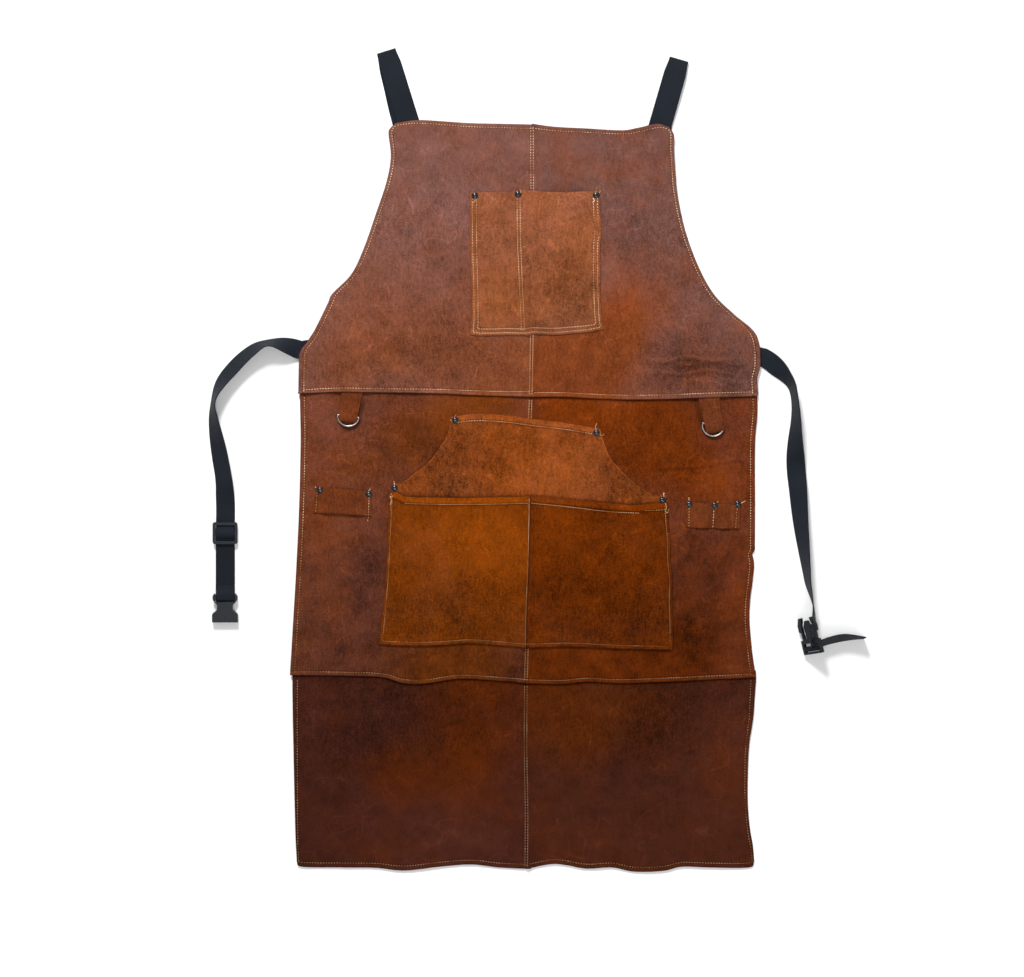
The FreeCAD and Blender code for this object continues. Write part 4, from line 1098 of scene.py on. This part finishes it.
def hand_pocket():
    patch = Patch(HAND["bottom"], HAND["right"], HAND["top"], HAND["left"], rows="lrt")
    share = smooth(patch.top / 30) * smooth(patch.bottom / 90)
    z = hand_height(patch.x, patch.y) + 1.3 * share
    mouth = smooth(patch.top / 16) * smooth((patch.bottom - 205) / 20)
    z += mouth * 0.9 * (bump(patch.left, 10) + bump(patch.right, 10))
    z += 0.9 * smooth(1 - (patch.top - 8.2) / 1.5) * smooth(patch.top / 1.2)
    z -= 0.5 * bump(patch.top - POCKET_HEM, 1.0)
    for points, width, depth in HAND_CREASES:
        z += crease(patch.x, patch.y, points, width, depth)
    shade = hem_shade(patch, 0.80) * relief_shade(patch.x, patch.y, HAND_CREASES)
    # Painted shadow along the lower pockets' mouths
    shade *= 1 - 0.45 * mouth_shadow(patch.x, patch.y)
    cut_edge = np.minimum(patch.left, patch.right)
    shade *= 1 + 0.6 * smooth(1 - cut_edge / 2.0) * smooth((patch.bottom - 190) / 10)
    piece = leather_sheet("hand_pocket_leather", patch, z, MATERIALS["hand"], shade)
    sewn(piece, "middle", "hand_pocket_panel")
    tree = surface_of([piece])
    thread = stitches("hand_pocket_stitches", tree, [patch.line("t", POCKET_HEM, 5, 5)],
                      MATERIALS["thread"], seed=21)
    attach(thread, "middle")
    return piece, tree


def lower_pocket(side, outline, tree):
    """Tool pocket on the hand-warmer panel, with a folded top hem."""
    patch = Patch(outline["bottom"], outline["right"], outline["top"], outline["left"], rows="lrbt")
    under = np.vectorize(lambda x, y: height_at(tree, x, y, 3.0))(patch.x, patch.y)
    under = np.maximum(under, hand_height(patch.x, patch.y))
    share = puff(patch, "lrb", 34)
    z = under + LEATHER + 0.15 + 1.2 * share
    z += share * 1.3 * smooth(1 - patch.top / 60)
    z += 1.0 * smooth(1 - (patch.top - 8.4) / 1.6) * smooth(patch.top / 1.2)
    z -= 0.5 * bump(patch.top - POCKET_HEM, 1.0)
    s = side[0]
    outer, inner = (patch.left, patch.right) if side == "left" else (patch.right, patch.left)
    z -= 0.4 * bump(outer - 3.6, 1.0) + 0.4 * bump(patch.bottom - LOW_HEM, 1.0)
    z += 0.9 * bump(inner - 3.2, 3.0) - 0.7 * bump(inner, 1.6)
    for points, width, depth in POCKET_CREASES:
        z += crease(patch.x, patch.y, points, width, depth)
    shade = edge_shade(patch, s, 3.6, 0.84) * edge_shade(patch, "b", LOW_HEM, 0.84) * hem_shade(patch, 0.82)
    # Painted shade in the dip where the two pockets meet, and painted relief light and shade
    shade *= (1 - 0.30 * bump(inner, 1.4)) * relief_shade(patch.x, patch.y, POCKET_CREASES)
    name = "lower_pocket_" + side
    piece = leather_sheet(name + "_leather", patch, z, MATERIALS["pocket_" + side], shade)
    sewn(piece, "middle", name)
    first, last = (3.6, 0) if side == "left" else (0, 3.6)
    rows = [patch.line(s, 3.6, LOW_HEM, 3), patch.line("b", LOW_HEM, first, last)]
    if side == "left":
        rows += [patch.line("t", POCKET_HEM, 22, 2), patch.line("r", 1.3, 3, 3),
                 [(-178.2, -44), (-179.4, -68)]]
    else:
        rows += POCKET_HEM_ROWS
    thread = stitches(name + "_stitches", surface_of([piece]), rows, MATERIALS["thread"],
                      seed=31 if side == "left" else 32,
                      radius=0.42, pitch=3.2)
    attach(thread, "middle")
    return piece


def tool_strip(name, outline, material, rows_at, overhang, bulge):
    """Strip sewn down along cross rows, bulging between them so that a tool slides through."""
    patch = Patch(outline["bottom"], outline["right"], outline["top"], outline["left"], rows="", step=1.6)
    sewn_at = np.ones_like(patch.x)
    for x0, slant in rows_at:
        line = x0 + slant * (1 - patch.v)
        sewn_at *= smooth((np.abs(patch.x - line) - 1.0) / 14)
    z = body_top(patch.x, patch.y) + LEATHER + 0.1 + bulge * sewn_at
    shade = edge_shade(patch, "bt", 0.0, 0.9)
    for x0, slant in rows_at:
        away = patch.x - (x0 + slant * (1 - patch.v))
        z -= 0.35 * bump(away, 1.1)
        # Painted shade in the sewn rows' dents
        shade *= 1 - 0.15 * bump(away, 1.6)
    piece = leather_sheet(name + "_leather", patch, z, material, shade)
    sewn(piece, "middle", name)
    top = np.array(outline["top"])
    bottom = np.array(outline["bottom"])
    rows = []
    for (x0, slant), extra in zip(rows_at, overhang):
        y1 = np.interp(x0, top[:, 0], top[:, 1]) + extra
        y0 = np.interp(x0 + slant, bottom[:, 0], bottom[:, 1]) - extra
        rows.append([(x0, y1 - 1), (x0 + slant, y0 + 1)])
    return piece, rows


def make_loops(trees):
    left, rows_left = tool_strip("hammer_loop", HAMMER, MATERIALS["trim"], [(-276.5, -2.5), (-207.5, -1.5)],
                                 [0, 4.5], 2.4)
    right, rows_right = tool_strip("tool_loop", TOOL, MATERIALS["trim"],
                                   [(217.5, -0.5), (250.5, -1.5), (281.5, -2.5)], [0.5, 0, 0.5], 1.8)
    below = surface_of([left, right])

    class Layered:
        """The loops' surface, and the body's where a row runs past them."""

        def ray_cast(self, origin, direction):
            hit = below.ray_cast(origin, direction)
            return hit if hit[0] else trees["middle"].ray_cast(origin, direction)

    thread = stitches("loop_stitches", Layered(), rows_left + rows_right, MATERIALS["thread"], seed=41,
                      radius=0.5)
    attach(thread, "middle")
    return left, right


# Rivets

RIVET_PROFILE = [(0.0, 1.95), (0.8, 1.92), (1.6, 1.84), (2.2, 1.69), (2.8, 1.42), (3.2, 1.13), (3.6, 0.76),
                 (3.75, 0.60), (3.9, 0.56), (4.2, 0.55), (4.42, 0.42), (4.48, 0.2), (4.45, -0.1),
                 (4.2, -0.35), (0.0, -0.35)]


def lathe(profile, centre, sides=40):
    """Vertices and faces of a turned shape about a vertical axis."""
    r = np.array([p[0] for p in profile])
    h = np.array([p[1] for p in profile])
    a = np.arange(sides) / sides * 2 * math.pi
    ring = np.stack([np.outer(r, np.cos(a)), np.outer(r, np.sin(a)), np.outer(h, np.ones(sides))], axis=-1)
    verts = ring.reshape(-1, 3) + np.array(centre)
    index = np.arange(len(r) * sides).reshape(len(r), sides)
    after = np.roll(index, -1, axis=1)
    faces = np.stack([index[:-1], index[1:], after[1:], after[:-1]], axis=-1).reshape(-1, 4)
    return verts, faces


def rivets(node, spots, tree, body):
    verts, faces, base = [], [], 0
    for x, y in spots:
        around = [height_at(tree, x + dx, y + dy, 0.0) for dx in (-3.5, 0, 3.5) for dy in (-3.5, 0, 3.5)]
        z = max(around) - 0.15
        v, f = lathe(RIVET_PROFILE, (x, y, z))
        verts.append(v)
        faces.append(f + base)
        base += len(v)
    piece = new_piece(node + "_caps", np.vstack(verts), np.vstack(faces).tolist(), MATERIALS["rivet"])
    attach(piece, body)
    merge_close(piece)
    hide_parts(node)
    return piece


def merge_close(piece):
    """Close the poles of a turned mesh."""
    modifier = piece.modifiers.new("weld", "WELD")
    modifier.merge_threshold = 0.00001
    bpy.context.view_layer.objects.active = piece
    piece.select_set(True)
    bpy.ops.object.modifier_apply(modifier=modifier.name)
    piece.select_set(False)


# Webbing pieces

# Each shoulder strap's foot, top of the roll, start and turn of its back run, far end, height of the diagonal
SHOULDER = {"left": ((-158.4, 456.8), (-184.6, 541.0), (-164.0, 455.0), (-148.0, 412.0), (246, 196), 0.8),
            "right": ((178.5, 444.0), (203.5, 530.0), (181.5, 452.0), (168.0, 410.0), (-236, 194), 2.4)}


def shoulder_strap(side):
    """Webbing sewn behind a top corner: up, over in a roll, and back down behind the bib to the far wing."""
    foot, roll, behind, turn, end = (np.array(p, float) for p in SHOULDER[side][:5])
    under = SHOULDER[side][5]
    up = (roll - foot) / np.linalg.norm(roll - foot)
    across = np.array([-up[1], up[0]])
    line, widths = [], []
    for t in np.linspace(-0.42, 1, 30):
        p = foot + (roll - foot) * t
        line.append((*p, 3.9 + 1.6 * math.sin(math.pi * max(t, 0)) - 0.3 * max(t, 0)))
        widths.append(SHOULDER_WEB - 3.6 * float(smooth((t - 0.78) / 0.22)))
    sides = [(*across, 0)] * len(line)
    top_z, low_z = line[-1][2], 0.8
    centre_z, radius = (top_z + low_z) / 2, (top_z - low_z) / 2
    for a in np.linspace(0, math.pi, 10)[1:-1]:
        p = roll + up * radius * math.sin(a) * 1.3
        line.append((*p, centre_z + radius * math.cos(a)))
        sides.append((*across, 0))
        widths.append(widths[-1])
    back = curve_through([tuple(roll), tuple((roll + behind) / 2), tuple(behind), tuple(turn),
                          tuple(turn + (end - turn) * 0.16 + np.array([0, -4.0])),
                          tuple(turn + (end - turn) * 0.5),
                          tuple(end)], 6)
    heights = low_z + (under - low_z) * smooth(np.arange(len(back)) / 24)
    tangent = np.gradient(back, axis=0)
    tangent /= np.linalg.norm(tangent, axis=1)[:, None]
    for k, ((x, y), z, d) in enumerate(zip(back, heights, tangent)):
        line.append((x, y, z))
        sides.append((d[1], -d[0], 0))
        widths.append(SHOULDER_WEB - 3.6 * float(smooth(1 - k / 4)))
    sides = np.array(sides)
    for k in range(1, len(sides)):
        if sides[k] @ sides[k - 1] < 0:
            sides[k] = -sides[k]
    piece = ribbon("shoulder_strap_" + side + "_webbing", line, sides, widths, MATERIALS["webbing"])
    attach(piece, "bib")
    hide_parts("shoulder_strap_" + side)
    return piece


# Height of a D-ring tab's ply at distances down from the seam; the bar of the ring lies 36 mm down
TAB_DOWN = [0, 8, 18, 26, 31, 35, 38, 41.5, 43.2, 43.6, 42.4, 39.5, 36, 30, 20, 4]
TAB_HIGH = [3.9, 3.9, 4.6, 5.6, 6.4, 6.75, 6.6, 5.9, 5.0, 4.0, 3.1, 2.7, 2.45, 2.45, 2.45, 2.45]


def d_ring_tab(side):
    """Leather strip from the waist seam, folded round the ring's bar, its nose inside the ring."""
    top, nose = (np.array(p, float) for p in TABS[side])
    down = (nose - top) / np.linalg.norm(nose - top)
    across = np.array([-down[1], down[0]])
    reach = np.linalg.norm(nose - top)
    flat = np.array([TAB_DOWN, TAB_HIGH], float).T
    flat[:, 0] += (reach - 43.6) * smooth(flat[:, 0] / 20)
    shape = curve_through(flat, 1.2)
    line = [(*(top + down * d), z) for d, z in shape]
    sides = [(*across, 0)] * len(line)
    taper = 27.6 - 3.2 * smooth(shape[:, 0] / reach)
    bow = 0.5 * np.sin(shape[:, 0] / 6.0)
    piece = ribbon("d_ring_tab_" + side + "_leather", line, sides, taper + bow, MATERIALS["trim"], 1.35)
    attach(piece, "middle")
    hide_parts("d_ring_tab_" + side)
    return piece


def waist_anchor(side):
    """Sewn end of the waist webbing behind the wing."""
    low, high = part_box("waist_anchor_" + side)
    low, high = low / MM, high / MM
    y = (low.y + high.y) / 2
    xs = np.linspace(low.x, high.x, 14)
    line = [(x, y, (low.z + high.z) / 2) for x in xs]
    piece = ribbon("waist_anchor_" + side + "_webbing", line, [(0, 1, 0)] * len(line), WAIST_WEB,
                   MATERIALS["webbing"])
    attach(piece, "bib")
    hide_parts("waist_anchor_" + side)
    return piece


# Free webbing: distance along the route, offset to its left, lean in degrees
LEFT_TWIST = [(0, -1, 4), (20, -3, 38), (40, -5, 68), (60, -2.2, 52), (95, -1.5, 42), (120, -3.5, 50),
              (147, -4.2, 72), (170, -1.2, 55), (210, 2.8, 30), (250, 3.5, 22), (272, 2.4, 7),
              (290, 1.7, 0), (310, 0.8, 0), (340, 0, 0)]
RIGHT_TWIST = [(0, 0, 4), (12, 1.2, 14), (22, 1, 18), (40, 0.5, 52), (55, 1.2, 69), (72, 0, 75),
               (105, -1.5, 63), (135, -2, 39), (166, -1.2, 10), (200, -0.5, 26), (260, -2.7, 53),
               (300, -4.3, 71), (322, -4.9, 80), (350, -1.8, 97), (380, -3, 110), (410, -3.5, 110)]
RIGHT_FREE = 350.0
SOCKET_BAR = (-399.0, -181.0, 3.5)
SOCKET_BAR_R = 1.6
SLIDER_Y = -97.5
TAIL_ROUTE = [(385.5, -245.5), (391, -243.9), (401.7, -240.2), (418.8, -236.3), (434, -235.6),
              (450, -236.3)]
TAIL_TWIST = [(0, 0, 66), (17, 0, 64), (36, 0, 64), (52, 0, 74), (66, 0, 84)]


def tucked(path, sides, inward):
    """The same webbing begun further back, level, under the wing."""
    start = path[0]
    before = [start + np.array([inward * d, 0.07 * d, 0.0]) for d in (16.0, 10.0, 5.0)]
    level = np.array([0.0, np.sign(sides[0][1]), 0.0])
    turned = [level, 0.7 * level + 0.3 * sides[0], 0.4 * level + 0.6 * sides[0]]
    return np.vstack([before, path]), np.vstack([turned, sides])


def waist_straps():
    """The two free straps, and the webbing that goes on from the right one, on edge, into the plug."""
    left_path, sides = tucked(*twisted(route_line(LEFT_ROUTE, WEB / 2), LEFT_TWIST), 1)
    left = ribbon("left_waist_strap_webbing", left_path, sides, WAIST_WEB, MATERIALS["webbing"])
    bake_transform(left)
    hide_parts("left_waist_strap")
    line = route_line(RIGHT_ROUTE, WEB / 2)
    path, sides = twisted(line, RIGHT_TWIST)
    cut = int(RIGHT_FREE / lengths(line)[-1] * (len(path) - 1))
    right_path, right_sides = tucked(path[:cut + 1], sides[:cut + 1], -1)
    right = ribbon("right_waist_strap_webbing", right_path, right_sides, WAIST_WEB, MATERIALS["webbing"])
    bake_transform(right)
    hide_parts("right_waist_strap")
    plug = ribbon("plug_webbing", path[cut:], sides[cut:], WAIST_WEB, MATERIALS["webbing"])
    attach(plug, "middle")
    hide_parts("right_strap_twist", "right_strap_fold")
    return left, left_path, right, right_path, plug


def strap_loops():
    """Webbing round the socket's bar, and over the slider's middle bar."""
    turn = np.linspace(-math.pi / 2, math.pi / 2, 12)
    radius = SOCKET_BAR_R + 0.4 + WEB / 2
    bend = [(SOCKET_BAR[1] - 4.2 - radius * math.cos(a), SOCKET_BAR[2] + radius * math.sin(a))
            for a in turn]
    profile = [(SOCKET_BAR[1] + 9, WEB / 2 + 0.1), (SOCKET_BAR[1] + 3, 0.9)] + bend
    profile += [(SOCKET_BAR[1] + 3.5, SOCKET_BAR[2] + radius - 0.3), (SOCKET_BAR[1] + 8, 1.5 * WEB + 1.2),
                (SOCKET_BAR[1] + 14, 1.5 * WEB + 0.1)]
    over = [(SLIDER_Y + 10.4, 3.6), (SLIDER_Y + 7.5, 4.6), (SLIDER_Y + 4, 7.1), (SLIDER_Y, 7.9),
            (SLIDER_Y - 4, 7.2), (SLIDER_Y - 7.5, 4.8), (SLIDER_Y - 10.4, 3.6)]
    for name, shape, width, nodes, body in (("strap_eye_webbing", profile, WAIST_WEB - 0.6, [], "middle"),
                                            ("slider_webbing", over, WAIST_WEB - 0.2, ["slider_wrap"],
                                             "slider")):
        line = [(SOCKET_BAR[0], y, z) for y, z in curve_through(shape, 0.7)]
        piece = ribbon(name, line, [(1, 0, 0)] * len(line), width, MATERIALS["webbing"], 1.4)
        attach(piece, body)
        if nodes:
            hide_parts(*nodes)


PLUG_AT = (380.5, -250.0, 16.8)
PLUG_ROLL = 50.0
PLUG_HEADING = 13.7
GUIDE = [(-6, 11), (6, 11), (6, 31), (3.4, 37.5), (-3.4, 37.5), (-6, 31)]


def plug_guide():
    """Moulded tongue between the plug's prongs, in the plug's own frame and then set in place."""
    place = (Matrix.Translation(Vector(PLUG_AT)) @ Matrix.Rotation(math.radians(PLUG_HEADING), 4, "Z")
             @ Matrix.Rotation(math.radians(-PLUG_ROLL), 4, "Y"))
    rings = []
    for inset, z in ((0.5, -1.9), (0.0, -1.4), (0.0, 1.4), (0.5, 1.9)):
        shrink = 1 - inset / 6
        rings += [tuple(place @ Vector((x * shrink, 24 + (y - 24) * (1 - inset / 13), z))) for x,
                  y in GUIDE]
    faces = tube_faces(4, len(GUIDE))
    piece = new_piece("plug_guide", rings, faces, MATERIALS["plastic"], rounded=False)
    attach(piece, "plug")


def strap_tail():
    """Free tail of the right strap, standing beside the plug."""
    line = curve_through(TAIL_ROUTE)
    line = np.column_stack([line, np.full(len(line), WEB / 2)])
    centres, sides = twisted(line, TAIL_TWIST)
    piece = ribbon("tail_webbing", centres, sides, WAIST_WEB - 0.6, MATERIALS["webbing"])
    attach(piece, "middle")
    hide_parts("right_strap_tail")
    return piece


# Loose ends of thread: the body each one rides, and its line
THREAD_ENDS = [
    ("bib", [(93.8, 354.5), (93.5, 358.5), (94.9, 362.0)]), ("bib", [(98.2, 354.0), (99.3, 357.4)]),
    ("bib", [(-70, 340.5), (-67.3, 342.9), (-64.6, 344.6)]), ("bib", [(-67.3, 342.9), (-67.0, 346.2)]),
    ("bib", [(-7.2, 353.6), (-6.2, 356.2), (-6.9, 358.4)]),
    ("bib", [(89, 341), (91.2, 343.4), (90.4, 346)]), ("middle", [(94, 40), (92.8, 44.2), (94.6, 48.2)]),
    ("middle", [(98.2, 33.5), (101.6, 31.9), (104.6, 34.2)]), ("middle", [(-94.8, 56.5), (-92.6, 59.5)]),
    ("middle", [(-98.5, 51.5), (-100.4, 53)]), ("middle", [(-174.2, -33.8), (-174.9, -28.6)]),
    ("middle", [(-180, -48), (-178.2, -54), (-179.9, -60)]),
    ("middle", [(183.9, -49.5), (183.2, -44.2), (185.4, -45.6)]),
    ("middle", [(185.3, -57.5), (187.2, -63), (186.0, -68.8), (189.0, -70.2), (189.8, -65.5)]),
    ("middle", [(-206.9, -41.4), (-206.4, -37.4)]), ("middle", [(-210.0, -79.5), (-209.4, -81.8)]),
    ("middle", [(217.4, -54.9), (217.0, -50.0)]), ("middle", [(254.0, -57.3), (256.2, -55.4)]),
    ("middle", [(285.6, -58.2), (289.4, -56.3), (292.2, -54.6)]),
    ("middle", [(-278.2, -37.6), (-279.9, -35.8)]),
]


def thread_ends(tree):
    for body in ("bib", "middle"):
        pieces = []
        for k, (owner, points) in enumerate(THREAD_ENDS):
            if owner != body:
                continue
            path = curve_through(points, 0.5)
            ends = np.linspace(0, 1, len(path))
            rise = 0.25 + 0.9 * np.sin(math.pi * ends) * (0.5 + 0.5 * math.sin(3.1 * k))
            line = [(x, y, height_at(tree, x, y) + h) for (x, y), h in zip(path, rise)]
            pieces.append(tube(f"end_{body}_{k}", line, 0.42, MATERIALS["thread"], 6))
        piece = join(body + "_thread_ends", pieces)
        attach(piece, body)


# Light and view

# Name, place, watts and width of each soft lamp
LAMPS = [("key", (-0.7, 3.0, 2.7), 165.0, 0.8), ("fill", (1.4, -2.2, 3.0), 30.0, 2.0),
         ("top", (-0.12, -0.45, 3.3), 16.0, 0.7)]


def floor_and_light():
    """Plain pale floor, even sky and soft lamps that look at the apron's middle."""
    size = 6.0
    mesh = bpy.data.meshes.new("floor")
    mesh.from_pydata([(-size, -size, -0.0004), (size, -size, -0.0004), (size, size, -0.0004),
                      (-size, size, -0.0004)], [],
                     [(0, 1, 2, 3)])
    floor = bpy.data.objects.new("floor", mesh)
    bpy.context.scene.collection.objects.link(floor)
    material, _, shader = nodes_of("floor")
    shader.inputs["Base Color"].default_value = (0.97, 0.97, 0.97, 1)
    shader.inputs["Roughness"].default_value = 0.9
    shader.inputs["Specular IOR Level"].default_value = 0.1
    mesh.materials.append(material)
    world = bpy.data.worlds.new("studio")
    bpy.context.scene.world = world
    world.use_nodes = True
    world.node_tree.nodes["Background"].inputs["Color"].default_value = (1, 1, 1, 1)
    world.node_tree.nodes["Background"].inputs["Strength"].default_value = 0.40
    for name, place, power, width in LAMPS:
        lamp = bpy.data.lights.new(name, "AREA")
        lamp.energy = power
        lamp.size = width
        holder = bpy.data.objects.new(name, lamp)
        holder.location = place
        holder.rotation_mode = "QUATERNION"
        holder.rotation_quaternion = (-Vector(place)).to_track_quat("-Z", "Y")
        bpy.context.scene.collection.objects.link(holder)


VIEW_CENTRE = (-0.0180, -0.0382)
VIEW_WIDTH = 1.3619
CAMERA_HEIGHT = 3.6


def make_camera():
    data = bpy.data.cameras.new("camera")
    data.sensor_width = 36.0
    data.lens = data.sensor_width * CAMERA_HEIGHT / VIEW_WIDTH
    camera = bpy.data.objects.new("camera", data)
    camera.location = (*VIEW_CENTRE, CAMERA_HEIGHT)
    bpy.context.scene.collection.objects.link(camera)
    bpy.context.scene.camera = camera
    bpy.context.scene.view_settings.view_transform = "Standard"


def dress_cad(node, material, bevel=0.0):
    """A CAD node that stays, with its own material and softened edges."""
    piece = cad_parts[node]
    piece.data.materials.clear()
    piece.data.materials.append(MATERIALS[material])
    if bevel:
        modifier = piece.modifiers.new("bevel", "BEVEL")
        modifier.width = bevel * MM
        modifier.segments = 3
        modifier.limit_method = "ANGLE"
        modifier.angle_limit = math.radians(35)
    return piece


make_camera()
floor_and_light()
left_strap, left_path, right_strap, right_path, plug_webbing = waist_straps()
tail = strap_tail()

body_pieces, body_patches = make_body()
body_thread, body_trees = body_stitches(body_pieces, body_patches)
for body, span in (("bib", (BIB_START, BIB_END)), ("skirt", (SKIRT_START, SKIRT_END))):
    for piece in (body_pieces[body + "_panel_left"], body_pieces[body + "_panel_right"], body_thread[body]):
        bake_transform(piece)
for piece in (body_pieces["middle_panel_left"], body_pieces["middle_panel_right"], body_thread["middle"]):
    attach(piece, "middle")

chest = chest_pocket()
hand, hand_tree = hand_pocket()
pocket_left = lower_pocket("left", POCKET_LEFT, hand_tree)
pocket_right = lower_pocket("right", POCKET_RIGHT, hand_tree)
loops = make_loops(body_trees)

everything = surface_of(list(body_pieces.values()) + [chest, hand, pocket_left, pocket_right, *loops])
for node, spots in RIVETS.items():
    rivets(node, spots, everything, "bib" if node == "chest_rivets" else "middle")
thread_ends(everything)

for strap_side in ("left", "right"):
    shoulder_strap(strap_side)
    waist_anchor(strap_side)
    dress_cad("d_ring_" + strap_side, "nickel")
    d_ring_tab(strap_side)
    dress_cad("plug_prong_" + strap_side, "plastic", 0.4)
for node in ("slider_frame", "buckle_socket", "buckle_plug"):
    dress_cad(node, "plastic", 0.45)
strap_loops()
plug_guide()
for node in ("left_strap_return", "plug_strap_end"):
    dress_cad(node, "webbing", 0.3)
for node in ("chest_washers", "middle_washers"):
    dress_cad(node, "rivet", 0.15)
for node in ("cross_patch", "wing_patch_left", "wing_patch_right"):
    dress_cad(node, "trim", 0.3)
